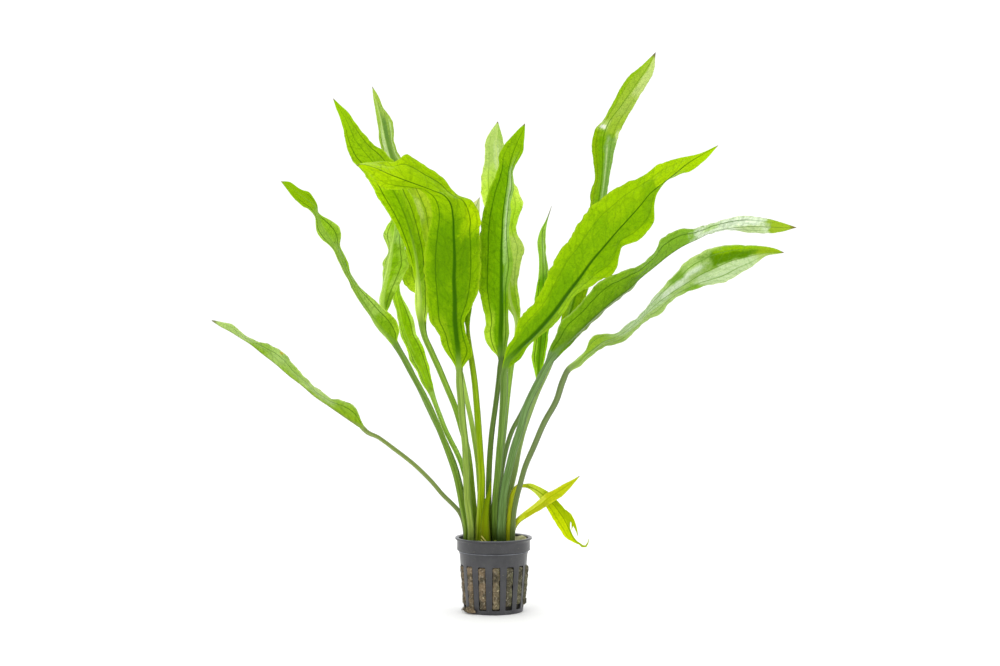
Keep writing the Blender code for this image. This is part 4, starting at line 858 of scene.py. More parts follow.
def leaf_mesh(name, leaf, seed):
    """A leaf as a closed loft: columns of points from its left margin to its right, and back behind."""
    points, rib, is_blade = leaf_rows(leaf)
    knots = np.concatenate([[0], np.cumsum(np.linalg.norm(np.diff(points[:, 0], axis=0), axis=1))])
    foot = knots[int(is_blade.argmax())]
    places = ring_places(knots, foot)
    rows = smoothed(points, knots, places)
    rib = np.interp(places, knots, rib)
    as_blade = np.interp(places, knots, is_blade)
    middle, left, right = rows[:, 0], rows[:, 1], rows[:, 2]
    along = unit(np.gradient(middle, axis=0))
    outwards = {
        -1: eased(unit(np.cross(middle - left, along))),
        1: eased(unit(np.cross(right - middle, along))),
    }
    rib_out = unit(outwards[-1] + outwards[1])
    course = places - foot
    rise = np.where(course < 0, course / foot, course / (knots[-1] - foot))

    faces_of = {1: [], -1: []}
    facts = []
    for across in [-s for s in COLUMNS[:0:-1]] + list(COLUMNS):
        share = abs(across)
        hand = 1 if across >= 0 else -1
        edge = right if across > 0 else left
        reach = edge - middle
        half = np.linalg.norm(reach, axis=1)
        blend = np.clip(share * half / np.maximum(rib, 0.4), 0, 1)[:, None]
        out = unit(rib_out * (1 - blend) + outwards[hand] * blend)
        veins = np.min([np.abs(share - place) for place in (0.0, MAIN_VEIN)], axis=0) * half
        pillow = PILLOW * np.clip(half / 12, 0, 1) * (1 - np.exp(-((veins / 2.2) ** 2)))
        frill = FRILL * np.clip(half / 9, 0, 1) * share**2.5 * wobble(course / 4.2, seed * 10 + 2 + hand)
        quilt = QUILT * np.clip(half / 8, 0, 1) * share
        quilt *= wobble(course / 2.2 + share * 9, seed * 10 + 6 + hand)
        scallop = 1 + share**2 * (SCALLOPS[0] * wobble(course / 2.6, seed * 10 + 4 + hand)
                                  + SCALLOPS[1] * wobble(course / 1.15, seed * 10 + 8 + hand))
        rise_of_rib = rib * np.exp(-((share * half / (0.75 * rib + 0.3)) ** 2))
        lamina = LAMINA_HALF + (MARGIN_HALF - LAMINA_HALF) * share**3
        round_share = sin(share * pi / 2)
        roundness = cos(share * pi / 2)
        spread = share * scallop * as_blade + round_share * (1 - as_blade)
        centre = middle + reach * spread[:, None]
        for face in (1, -1):
            rib_part = rise_of_rib * (0.4 if face > 0 else 0.95)
            flat = (pillow + frill + quilt) + face * (lamina + rib_part)
            channel = 1 - 0.3 * np.exp(-((share / 0.35) ** 2)) * (face > 0)
            tube = face * (rib * roundness * channel + MARGIN_HALF)
            faces_of[face].append(centre + out * (flat * as_blade + tube * (1 - as_blade))[:, None])
        facts.append((np.full(len(places), across), half, course, rise))

    ring = np.array(faces_of[1] + faces_of[-1][::-1]).transpose(1, 0, 2)
    facts = np.array(facts + facts[::-1]).transpose(2, 0, 1)
    count, around = ring.shape[:2]
    verts = np.vstack([ring.reshape(-1, 3), middle[:1], points[-1, :1]]) * MM
    facts = np.vstack([facts.reshape(-1, 4), [0, rib[0], course[0], -1], [0, 0, knots[-1] - foot, 1]])
    verts, facts, faces = list(verts), list(facts), strip_faces(count, around)
    add_tatters(name, verts, facts, faces)
    columns = np.array(facts).T.astype(np.float32, order="C")
    mesh = new_mesh(name, [tuple(v) for v in verts], faces, **dict(zip(LEAF_FACTS, columns)))
    mesh.shade_smooth()
    mesh.set_sharp_from_angle(angle=radians(65))
    return mesh


def add_tatters(name, verts, facts, faces):
    """Closed ribbons for a leaf's torn ends, added to its lists."""
    for ribbon in TATTERS.get(name, ()):
        rows = np.array(ribbon, float)
        along = unit(np.gradient(rows[:, :3], axis=0))
        aside = unit(np.cross(along, (0.0, 1.0, 0.0)))
        outwards = np.cross(aside, along)
        first = len(verts)
        for row, along_side, out in zip(rows, aside, outwards):
            for share in (1.0, -1.0):
                verts.append((row[:3] + along_side * row[3] * share) * MM)
                verts.append((row[:3] + out * TATTER_HALF * share) * MM)
                facts += [(share * 0.85, 2.0, 20.0, 0.7)] * 2
        for i in range(len(rows) - 1):
            for k in range(4):
                a, b = first + 4 * i + k, first + 4 * i + (k + 1) % 4
                faces += [(a, b, b + 4), (a, b + 4, a + 4)]
        last = first + 4 * (len(rows) - 1)
        for end in (first, last):
            faces += [(end, end + 1, end + 2), (end, end + 2, end + 3)]


def add_piece(name, mesh, material, slot, *nodes):
    """A piece of the plant, which rides on the plant's one body and stands for its solids."""
    piece = bpy.data.objects.new(name, mesh)
    bpy.context.scene.collection.objects.link(piece)
    mesh.materials.append(material)
    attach(piece, BODY)
    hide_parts(*nodes)


# What each leaf changes in LEAF_LOOK.
LOOKS = {
    "leaf_front_left": dict(
        stalk_gain=0.8, foot_shade=0.5, gain=1.2, core=0.9, bright=(124, 172, 4), deep=(94, 146, 2),
        margin=0.66, rib=(40, 92, 1), rib_width=2.4, edge=(172, 200, 40),
        stalk=((146, 180, 84), (122, 158, 66), (94, 130, 44)),
        foot=((158, 186, 88), (146, 172, 74), (106, 136, 52)),
        marks=(
            (0.0, 0.12, 0.2, 1.1, (126, 168, 6), 0.8), (0.0, 0.2, -1.1, -0.4, (134, 176, 16), 0.8),
            (0.36, 0.50, -0.75, 0.5, (86, 136, 2), 0.6), (0.50, 0.68, 0.25, 1.2, (152, 194, 4), 0.75),
            (0.54, 0.68, 0.5, 1.2, (172, 208, 4), 0.75), (0.60, 1.1, -1.1, 1.1, (146, 190, 5), 0.85),
            # The mark from rise 0.82 is painted light on the folded tip, which the light reaches only at a
            # grazing angle.
            (0.82, 1.1, -1.1, 1.1, (164, 204, 6), 0.9, 0.07), (0.56, 0.66, -0.5, 0.5, (128, 174, 4), 0.6),
            (0.26, 0.46, 0.55, 1.1, (118, 164, 2), 0.5),
        ),
    ),
    "leaf_twisted_left": dict(
        stalk_gain=0.95, foot_shade=0.45, gain=1.36, core=0.0, edge_share=0.5, bright=(142, 184, 34),
        deep=(106, 152, 16), rib=(112, 152, 46), rib_width=0.9, tip=(150, 156, 60),
        stalk=((104, 140, 62), (92, 128, 50), (112, 146, 66)),
        foot=((126, 158, 62), (118, 156, 42), (138, 166, 62)),
        marks=(
            (0.04, 0.30, -1.1, -0.35, (142, 176, 84), 0.8), (0.18, 0.40, -0.05, 1.1, (148, 184, 82), 0.75),
            (0.30, 0.50, -1.1, -0.3, (146, 176, 88), 0.7), (0.50, 0.80, -1.1, 1.1, (140, 176, 72), 0.6),
            (0.60, 0.74, 0.15, 0.8, (124, 170, 18), 0.8), (0.80, 1.1, -1.1, 1.1, (120, 162, 4), 0.95),
        ),
    ),
    "leaf_low_left": dict(
        stalk_gain=0.85, foot_shade=0.4, gain=1.18, core=0.0, edge_share=0.5, bright=(150, 188, 78),
        deep=(132, 172, 44), rib=(112, 122, 62), rib_width=0.9, margin=0.3,
        stalk=((132, 156, 84), (120, 142, 78), (140, 160, 100)),
        foot=((120, 146, 78), (116, 134, 84), (110, 128, 78)), tip=(120, 124, 84), tip_share=0.012,
        edge=(196, 212, 140),
        marks=(
            (-0.01, 0.18, -0.85, 0.0, (130, 170, 30), 0.85), (0.20, 0.40, -1.1, -0.1, (162, 194, 112), 0.8),
            (0.42, 0.54, -0.85, -0.1, (144, 182, 78), 0.6), (0.54, 0.65, -1.1, 0.0, (160, 194, 110), 0.7),
            (0.64, 0.73, -0.9, -0.2, (134, 174, 62), 0.7), (0.74, 1.1, -1.1, 0.0, (164, 194, 116), 0.75),
            (0.578, 0.598, -1.0, -0.8, (176, 160, 30), 0.9),
        ),
    ),
    "leaf_tall_left": dict(
        stalk_gain=1.25, foot_shade=0.8, gain=1.42, core=0.2, bright=(148, 190, 6), deep=(122, 170, 3),
        # The pale lower midrib is a painted highlight.
        rib=(98, 148, 4), rib_width=1.3, rib_low=(178, 212, 84), rib_turn=0.30,
        stalk=((120, 152, 64), (98, 136, 40), (86, 122, 26)),
        foot=((96, 124, 30), (76, 106, 6), (112, 138, 36)),
        marks=(
            (-0.01, 0.06, -1.1, 1.1, (180, 210, 84), 0.8), (0.05, 0.17, -1.1, 0.1, (192, 222, 106), 0.85),
            (0.05, 0.17, 0.1, 1.1, (156, 194, 48), 0.7), (0.35, 0.6, 0.35, 1.1, (146, 188, 8), 0.7),
            (0.60, 1.1, -1.1, 1.1, (130, 172, 10), 0.8), (0.58, 0.68, -1.1, -0.3, (166, 204, 16), 0.7),
        ),
    ),
    "leaf_rolled_back_left": dict(
        stalk_gain=1.75, foot_shade=0.4, gain=1.2, core=0.0, bright=(186, 215, 46), deep=(160, 198, 24),
        rib=(186, 212, 130), rib_width=1.0, vein=(110, 156, 20),
        stalk=((124, 156, 80), (132, 160, 70), (118, 146, 66)),
        foot=((144, 170, 56), (128, 158, 42), (120, 148, 36)),
        marks=(
            (0.06, 0.30, -1.1, -0.3, (182, 218, 30), 0.6), (0.38, 0.48, -0.2, 0.5, (206, 226, 120), 0.7),
            (0.58, 1.1, -1.1, 1.1, (146, 182, 78), 0.85, 0.11),
            (0.62, 0.76, 0.0, 0.55, (84, 130, 44), 0.8, 0.05),
            (0.62, 0.80, -0.5, 0.0, (196, 218, 168), 0.75, 0.05),
            (0.74, 0.88, 0.05, 0.45, (84, 130, 60), 0.8, 0.05), (0.64, 0.84, 0.6, 0.8, (180, 210, 140), 0.7),
            (0.93, 1.1, -1.1, 1.1, (158, 188, 66), 0.7),
        ),
    ),
    "leaf_curled_back_left": dict(
        gain=1.34, core=0.0, bright=(166, 206, 60), deep=(134, 184, 16), rib=(184, 218, 96), rib_width=3.0,
        vein=(92, 140, 12),
        marks=(
            (0.08, 0.64, -1.1, -0.1, (166, 198, 92), 0.7), (0.06, 0.18, 0.2, 1.1, (110, 156, 22), 0.8),
            (0.20, 0.30, 0.35, 1.1, (172, 206, 86), 0.7), (0.56, 0.76, 0.05, 0.8, (188, 220, 122), 0.75),
        ),
    ),
    "leaf_short_back_left": dict(
        stalk_gain=1.85, foot_shade=0.5, gain=1.6, core=0.0, bright=(158, 196, 36), deep=(132, 176, 10),
        rib=(142, 188, 18), rib_width=0.8, vein=(98, 146, 8), margin=0.66,
        stalk=((122, 156, 62), (116, 150, 60), (112, 146, 70)),
        foot=((98, 136, 44), (104, 142, 54), (112, 144, 72)),
        marks=(
            (-0.01, 0.3, -0.9, -0.4, (144, 178, 66), 0.7), (0.2, 0.52, -0.4, -0.1, (112, 158, 6), 0.7),
            (0.35, 0.75, 0.72, 1.1, (178, 206, 98), 0.7), (0.4, 0.8, -1.1, -0.72, (150, 184, 74), 0.7),
        ),
    ),
    "leaf_hidden_centre": dict(
        stalk_gain=0.95, foot_shade=0.35, bright=(130, 178, 20), deep=(104, 152, 6), rib=(90, 138, 4),
        stalk=((134, 166, 40), (108, 150, 6), (126, 158, 18)),
        foot=((178, 198, 76), (146, 172, 4), (144, 174, 20)),
        # The near-white tip mark is painted light on a tip that lies in the others' shade.
        marks=((0.84, 1.1, -1.1, 1.1, (236, 250, 190), 1.0),),
    ),
    "leaf_dark_centre": dict(
        stalk_gain=0.85, foot_shade=0.6, gain=1.35, core=0.9, bright=(120, 168, 4), deep=(98, 150, 2),
        vein=(58, 110, 1), rib=(88, 140, 4), rib_low=(50, 104, 0), rib_turn=0.52, rib_width=2.2, margin=0.7,
        edge=(160, 192, 60), stalk=((98, 128, 66), (88, 120, 56), (66, 102, 40)),
        foot=((78, 118, 6), (56, 96, 2), (130, 160, 26)),
        marks=(
            (-0.01, 0.20, -1.1, -0.45, (164, 200, 50), 0.85), (0.16, 0.30, -1.1, -0.6, (132, 176, 12), 0.7),
            (0.34, 0.80, 0.12, 1.1, (146, 188, 96), 0.9, 0.12),
            (0.34, 0.50, 0.45, 1.1, (118, 164, 26), 0.7, 0.06), (-0.01, 0.2, 0.25, 1.1, (132, 170, 62), 0.7),
            (0.82, 1.1, -1.1, 1.1, (126, 170, 8), 0.7), (0.46, 0.80, 0.3, 0.62, (178, 206, 150), 0.75, 0.09),
        ),
    ),
    "leaf_pale_back": dict(
        veins=0.6, stalk_gain=1.45, foot_shade=0.6, gain=1.38, core=0.0, edge_share=0.5,
        bright=(186, 216, 80), deep=(160, 200, 40), vein=(128, 174, 30), rib=(196, 220, 112), rib_width=1.2,
        edge=(204, 220, 130), stalk=((118, 154, 58), (112, 150, 56), (108, 138, 66)),
        foot=((142, 166, 60), (124, 150, 50), (96, 120, 40)),
        marks=(
            (0.05, 0.18, -1.1, 0.2, (188, 210, 104), 0.7), (0.14, 0.38, -1.1, 0.6, (144, 186, 26), 0.85),
            (0.26, 0.50, 0.25, 1.1, (184, 206, 110), 0.8), (0.52, 0.62, 0.5, 1.1, (158, 204, 20), 0.7),
            (0.76, 1.1, -1.1, 1.1, (158, 186, 104), 0.9, 0.09), (0.78, 0.90, -0.2, 0.3, (178, 200, 140), 0.7),
            (0.90, 1.1, 0.1, 1.1, (140, 178, 70), 0.7),
        ),
    ),
    "leaf_slender_back_right": dict(
        stalk_gain=0.9, foot_shade=0.6, gain=1.95, core=0.1, bright=(126, 172, 20), deep=(84, 138, 4),
        vein=(58, 108, 4), rib=(74, 124, 6), rib_width=0.8,
        stalk=((116, 144, 88), (104, 136, 72), (92, 122, 64)),
        foot=((106, 134, 60), (84, 114, 42), (96, 120, 60)), tip=(150, 152, 124), tip_share=0.03,
        marks=(
            (-0.01, 0.32, -1.1, -0.4, (142, 182, 42), 0.8), (0.58, 0.93, -1.1, 1.1, (136, 172, 66), 0.75),
            (0.66, 0.80, -0.1, 0.4, (152, 184, 108), 0.7),
        ),
    ),
    "leaf_tallest_right": dict(
        stalk_gain=1.45, foot_shade=0.7, gain=1.15, core=0.5, bright=(138, 180, 8), deep=(120, 168, 4),
        rib=(104, 152, 10), rib_width=1.3, veins=0.4, edge=(176, 202, 90),
        stalk=((116, 142, 80), (112, 138, 82), (100, 124, 72)),
        foot=((92, 120, 48), (94, 116, 56), (90, 110, 46)), tip=(110, 96, 70), tip_share=0.006,
        marks=(
            (0.70, 1.1, -1.1, 1.1, (160, 193, 62), 0.75), (0.46, 0.68, 0.12, 1.1, (124, 170, 84), 0.85),
            (0.50, 0.66, 0.28, 0.42, (188, 212, 150), 0.7), (0.48, 0.70, -0.35, 0.05, (112, 170, 4), 0.6),
            (0.705, 0.74, -1.1, 0.1, (186, 212, 128), 0.7), (0.708, 0.722, -0.75, -0.1, (246, 250, 230), 0.9),
            (0.67, 0.71, 0.8, 1.1, (210, 228, 160), 0.7), (0.76, 0.86, 0.0, 1.1, (162, 192, 84), 0.7),
            (0.84, 1.0, 0.2, 1.1, (192, 214, 132), 0.8), (0.76, 0.98, -1.1, -0.62, (142, 188, 8), 0.8),
        ),
    ),
    "leaf_big_right": dict(
        veins=0.8, stalk_gain=0.95, foot_shade=0.8, gain=1.18, core=0.95, side_vein=0.4, bright=(140, 187, 4),
        deep=(116, 167, 4), margin=0.6, rib=(50, 104, 1), rib_width=2.1, edge=(170, 196, 40),
        stalk=((104, 138, 66), (80, 116, 48), (120, 150, 92)),
        foot=((104, 140, 38), (86, 120, 40), (92, 122, 56)), tip=(150, 140, 60),
        marks=(
            (0.08, 0.38, -0.5, 0.25, (98, 153, 4), 0.75), (0.24, 0.42, 0.3, 1.1, (150, 196, 34), 0.85),
            (0.12, 0.26, 0.3, 1.1, (122, 168, 36), 0.6), (0.76, 1.1, -1.1, 1.1, (164, 204, 6), 0.8),
            (0.69, 0.78, 0.08, 0.8, (112, 162, 10), 0.75), (-0.01, 0.1, -0.8, 1.1, (106, 158, 10), 0.7),
            (0.58, 0.72, -1.1, -0.2, (148, 192, 3), 0.6),
        ),
    ),
    "leaf_arching_right": dict(
        stalk_gain=0.9, foot_shade=0.9, gain=1.3, core=0.2, edge_share=0.4, bright=(122, 168, 28),
        deep=(100, 146, 20), rib=(84, 122, 30), rib_width=1.6, margin=0.3, edge=(170, 196, 104),
        edge_deep=(118, 134, 40), tip=(120, 108, 50), tip_share=0.008,
        stalk=((108, 142, 90), (92, 128, 70), (96, 128, 76)),
        foot=((94, 130, 68), (82, 116, 58), (94, 126, 56)),
        marks=(
            (-0.02, 0.10, -1.1, 1.1, (86, 130, 24), 0.85), (0.10, 0.30, -1.1, -0.3, (108, 156, 16), 0.85),
            (0.10, 0.34, 0.1, 1.1, (122, 146, 74), 0.7), (0.22, 0.38, 0.02, 0.2, (168, 188, 108), 0.7),
            (0.40, 0.625, -1.1, 1.1, (130, 178, 48), 0.85), (0.42, 0.60, -0.5, 0.0, (116, 164, 40), 0.5),
            (0.625, 0.89, -1.1, 1.1, (208, 224, 204), 1.0), (0.63, 0.72, 0.55, 1.1, (120, 160, 30), 0.8),
            (0.66, 0.72, -0.9, -0.3, (150, 196, 60), 0.6), (0.79, 0.88, -0.15, 1.1, (164, 190, 118), 0.75),
            (0.89, 1.1, -1.1, 1.1, (146, 176, 40), 0.9),
        ),
    ),
    "leaf_low_right": dict(
        stalk_gain=0.9, foot_shade=0.6, gain=1.05, core=0.3, edge_share=0.5, bright=(166, 202, 112),
        deep=(150, 190, 88), rib=(108, 148, 40), rib_width=1.0, vein=(110, 158, 50), margin=0.3,
        edge=(200, 220, 150), edge_deep=(160, 196, 90),
        stalk=((102, 126, 76), (103, 124, 80), (110, 124, 98)),
        foot=((87, 114, 30), (96, 119, 62), (119, 136, 94)),
        marks=(
            (-0.01, 0.09, -0.7, 1.1, (154, 188, 92), 0.6), (0.09, 0.21, -1.1, -0.1, (138, 180, 24), 0.85),
            (0.11, 0.26, 0.08, 1.1, (126, 166, 36), 0.8), (0.26, 0.52, -1.1, 0.3, (174, 205, 154), 0.85),
            (0.28, 0.44, 0.3, 1.1, (156, 192, 96), 0.7), (0.48, 0.68, -0.5, 0.02, (206, 224, 200), 0.85),
            (0.40, 0.50, -0.95, -0.6, (196, 216, 186), 0.7), (0.55, 0.61, -1.0, -0.45, (100, 156, 2), 0.8),
            (0.55, 0.63, 0.4, 1.1, (118, 172, 4), 0.85), (0.64, 0.80, 0.4, 0.75, (198, 222, 178), 0.7),
            (0.70, 1.1, -0.82, -0.03, (84, 134, 0), 1.0), (0.75, 1.1, -1.1, -0.55, (140, 188, 0), 0.95),
            (0.64, 0.95, 0.05, 1.1, (192, 217, 170), 0.9), (0.90, 1.1, -1.1, 1.1, (156, 188, 34), 0.7),
            (0.60, 0.70, -0.25, 0.05, (124, 166, 40), 0.7),
        ),
    ),
    "leaf_small_straight": dict(
        stalk_gain=1.15, foot_shade=0.3, gain=1.03, core=0.1, bright=(198, 212, 28), deep=(182, 198, 16),
        vein=(160, 172, 14), rib=(160, 174, 8), rib_width=0.5, veins=0.4, edge=(206, 214, 96),
        edge_deep=(150, 162, 30), stalk=((184, 198, 60), (170, 186, 18), (150, 166, 20)),
        foot=((120, 128, 60), (110, 122, 40), (96, 104, 40)), tip=(128, 118, 84), tip_share=0.012,
        marks=(
            (-0.01, 0.42, -1.1, -0.15, (212, 226, 74), 0.8), (-0.01, 0.42, 0.1, 1.1, (176, 188, 30), 0.7),
            (0.44, 0.60, -1.1, -0.2, (186, 198, 26), 0.7), (0.58, 0.9, 0.1, 1.1, (190, 206, 24), 0.7),
            (0.56, 0.9, -0.2, 0.1, (170, 186, 10), 0.6),
        ),
    ),
    "leaf_small_torn": dict(
        stalk_gain=1.05, foot_shade=0.4, gain=1.12, core=0.1, bright=(198, 218, 8), deep=(182, 206, 4),
        vein=(132, 160, 4), rib=(112, 138, 2), rib_width=0.5, veins=0.6, edge=(206, 222, 90),
        edge_deep=(160, 184, 20), stalk=((150, 160, 30), (186, 202, 36), (160, 180, 20)),
        foot=((158, 172, 36), (142, 158, 12), (106, 130, 6)), tip=(170, 176, 60),
        marks=(
            (0.24, 1.1, -1.1, -0.05, (150, 178, 5), 0.85), (-0.01, 0.24, -1.1, 1.1, (192, 214, 70), 0.7),
            (0.1, 0.24, 0.2, 1.1, (210, 228, 92), 0.7),
        ),
    ),
    "young_shoot": dict(
        stalk_gain=0.95, foot_shade=0.35, bright=(116, 140, 8), deep=(104, 128, 4), veins=0.3,
        rib=(100, 124, 4), rib_width=0.6, stalk=((90, 122, 4), (98, 120, 4), (108, 134, 8)),
        foot=((128, 140, 14), (120, 132, 6), (98, 108, 2)),
    ),
}

# The material slots of the leaves that aren't plain green.
LEAF_SLOTS = {
    "leaf_dark_centre": "leaf_dark_green", "leaf_small_straight": "leaf_yellow_green",
    "leaf_small_torn": "leaf_yellow_green", "young_shoot": "leaf_yellow_green",
}


def build_leaves():
    for seed, (name, leaf) in enumerate(LEAVES.items()):
        mesh = leaf_mesh(name, leaf, seed)
        material = leaf_material(name + "_surface", LOOKS[name])
        add_piece(name + "_grown", mesh, material, LEAF_SLOTS.get(name, "leaf_green"), name)


# ---------------------------------------------------------------- net pot

def body_radius(z):
    """The pot's outer radius at a height on its tapering wall."""
    share = (z - FOOT_ROUND) / (STEP_Z - FOOT_ROUND)
    return BODY_BOTTOM_RADIUS + (BODY_TOP_RADIUS - BODY_BOTTOM_RADIUS) * share


def slot_angle(index):
    """The direction of a slot's middle, counted from the front."""
    return -pi / 2 + SLOT_TURN + index * 2 * pi / SLOT_COUNT


def arc(centre_radius, centre_z, radius, start, end, count=5):
    """Points (radius, z) of a round, from one angle to another in degrees."""
    angles = [radians(start + (end - start) * i / count) for i in range(count + 1)]
    return [(centre_radius + radius * cos(a), centre_z + radius * sin(a)) for a in angles]


def pot_profile():
    rim_bottom = POT_HEIGHT - RIM_DEPTH
    inside = COLLAR_RADIUS - WALL
    ledge = body_radius(LEDGE_Z)
    return [
        *arc(BODY_BOTTOM_RADIUS - FOOT_ROUND, FOOT_ROUND, FOOT_ROUND, -90, 0),
        (body_radius(LEDGE_Z - 2.2), LEDGE_Z - 2.2),
        (ledge + 0.5 * LEDGE_PROUD, LEDGE_Z - 1.0),
        (ledge + LEDGE_PROUD, LEDGE_Z - 0.3),
        (ledge + 0.9 * LEDGE_PROUD, LEDGE_Z - 0.1),
        (ledge + 0.1, LEDGE_Z + 0.25),
        (ledge + 0.05, STEP_Z + 0.35),
        *arc(COLLAR_RADIUS - 0.5, COLLAR_BOTTOM_Z + 0.3, 0.5, -70, 0),
        (COLLAR_RADIUS, rim_bottom - 0.4),
        (COLLAR_RADIUS + 0.12, rim_bottom + 0.1),
        (COLLAR_RADIUS + 0.45, rim_bottom + 0.6),
        (RIM_RADIUS - 0.4, rim_bottom + 1.1),
        *arc(RIM_RADIUS - 0.35, rim_bottom + 1.5, 0.35, -60, 0, 3),
        *arc(RIM_RADIUS - 0.35, POT_HEIGHT - 0.35, 0.35, 0, 80, 4),
        (inside + 0.9, POT_HEIGHT - 0.15),
        *arc(inside + 0.5, POT_HEIGHT - 0.75, 0.5, 80, 180),
        (inside, COLLAR_BOTTOM_Z + WALL / 2),
        (BODY_TOP_RADIUS - WALL, STEP_Z),
        (BODY_BOTTOM_RADIUS - WALL, FLOOR + 0.4),
        (BODY_BOTTOM_RADIUS - WALL - 0.4, FLOOR),
    ]


def turned_mesh(name, profile, segments, turn):
    """A closed turned body: rings about Z through a profile, with a fan from each end to the axis."""
    angles = [turn + 2 * pi * (i + 0.5) / segments for i in range(segments)]
    verts = [(r * cos(a) * MM, r * sin(a) * MM, z * MM) for r, z in profile for a in angles]
    faces = ring_quads(0, len(profile), segments)
    for ring in (0, len(profile) - 1):
        faces += fan(ring * segments, segments, len(verts))
        verts.append((0, 0, profile[ring][1] * MM))
    return new_mesh(name, verts, faces)


def add_block(work, angle, inner, outer, half_width, low, high, corner):
    """A block pointing outwards at an angle, with rounded upright-face corners."""
    outline = []
    for corner_x, corner_z, start in ((1, 1, 0), (-1, 1, 90), (-1, -1, 180), (1, -1, 270)):
        middle = (corner_x * (half_width - corner), (high + low) / 2 + corner_z * ((high - low) / 2 - corner))
        outline += arc(*middle, corner, start, start + 90, 3)
    outwards = Vector((cos(angle), sin(angle), 0))
    sideways = Vector((-sin(angle), cos(angle), 0))
    near, far = [
        [work.verts.new((outwards * reach + sideways * x + Vector((0, 0, z))) * MM) for x, z in outline]
        for reach in (inner, outer)
    ]
    work.faces.new(near)
    work.faces.new(far[::-1])
    for i in range(len(outline)):
        j = (i + 1) % len(outline)
        work.faces.new((near[j], near[i], far[i], far[j]))


def slot_blocks():
    work = bmesh.new()
    for index in range(SLOT_COUNT):
        add_block(work, slot_angle(index), BODY_BOTTOM_RADIUS - 3 * WALL, BODY_TOP_RADIUS + 2 * WALL,
                  SLOT_WIDTH / 2, SLOT_BOTTOM_Z, SLOT_TOP_Z, SLOT_CORNER)
        if index % 2 == 0:
            add_block(work, slot_angle(index), FLOOR_SLOT_INNER, FLOOR_SLOT_OUTER,
                      FLOOR_SLOT_WIDTH / 2, -FLOOR, 2 * FLOOR, SLOT_CORNER)
    bmesh.ops.recalc_face_normals(work, faces=work.faces)
    mesh = bpy.data.meshes.new("slot_blocks")
    work.to_mesh(mesh)
    work.free()
    return mesh


def plastic_material():
    g = Graph("dark grey moulded plastic")
    place = g.place()
    z = g.axis(place, "Z")
    cloud = g.noise(place, 60.0, 4.0, 0.6)
    grain = g.noise(place, 1600.0, 3.0, 0.6)
    smear = g.noise(place, 220.0, 5.0, 0.7)
    specks = g.noise(place, 700.0, 2.0, 0.5)
    colour = g.layers(
        (46, 46, 49), (cloud, 0.35, 0.7, 0.0, 1.0, (60, 60, 63)),
        (smear, 0.60, 0.80, 0.0, 0.35, (92, 91, 90)), (specks, 0.70, 0.76, 0.0, 0.5, (130, 124, 104)),
    )
    # Painted highlights: a light line along the ledge under the collar, and a lighter top edge of the rim.
    painted_edge_highlight = g.math("MAXIMUM", g.band(z, (LEDGE_Z - 0.35) * MM, (LEDGE_Z + 0.1) * MM, 0.12 * MM),
                  g.times(g.step(z, (POT_HEIGHT - 0.5) * MM, (POT_HEIGHT - 0.1) * MM), 0.55))
    colour = g.mix(g.times(painted_edge_highlight, g.step(cloud, 0.3, 0.6, 0.35, 0.9)), colour, (138, 142, 150))
    height = g.plus(g.times(grain, 0.6), g.times(smear, 0.8))
    return g.coat(colour, g.step(cloud, 0.3, 0.8, 0.30, 0.44), 0.5, Normal=g.bump(height, 0.06, 0.5))


def build_pot():
    body = bpy.data.objects.new("pot_body", turned_mesh("pot_body", pot_profile(), POT_SEGMENTS, SLOT_TURN))
    blocks = bpy.data.objects.new("slot_blocks", slot_blocks())
    for thing in (body, blocks):
        bpy.context.scene.collection.objects.link(thing)
    cut = body.modifiers.new("slots", "BOOLEAN")
    cut.operation = "DIFFERENCE"
    cut.object = blocks
    rounded = body.modifiers.new("edges", "BEVEL")
    rounded.width = EDGE_ROUND * MM
    rounded.segments = 2
    rounded.limit_method = "ANGLE"
    rounded.angle_limit = radians(50)
    bpy.context.view_layer.update()
    evaluated = body.evaluated_get(bpy.context.evaluated_depsgraph_get())
    mesh = bpy.data.meshes.new_from_object(evaluated)
    for thing in (body, blocks):
        bpy.data.objects.remove(thing)
    mesh.shade_smooth()
    mesh.set_sharp_from_angle(angle=radians(38))
    add_piece("net_pot_moulded", mesh, plastic_material(), "pot_plastic", "net_pot")


# ---------------------------------------------------------------- mineral wool

# Slots, counted from the front to the right, whose wool ends short of them (gap below, gap above), and
# those whose wool stands further out.
LOBE_GAPS = {0: (0.6, 0.2), 1: (2.6, 0.5), 2: (3.2, 0.7), 12: (-1.0, 0.3), 13: (0.5, 0.5)}
LOBE_PROUD = {0: 0.4, 1: 0.4, 2: 0.5, 3: 1.6, 4: 1.2, 10: 0.6, 11: 0.7, 12: 1.3, 13: 0.9}


def rough(point, size, seed=0.0):
    """Fractal noise between about -1 and 1 at a point in millimetres."""
    return noise.fractal(Vector(point) / size + Vector((seed, seed, seed)), 1.0, 2.0, 4)


def lobe_ends(index):
    """Lowest and highest point of the wool in a slot."""
    chance = np.random.default_rng(SLOT_SEED + index)
    low, high = LOBE_GAPS.get(index, (chance.uniform(0.2, 1.8), chance.uniform(0.2, 1.6)))
    return SLOT_BOTTOM_Z + low, SLOT_TOP_Z - high


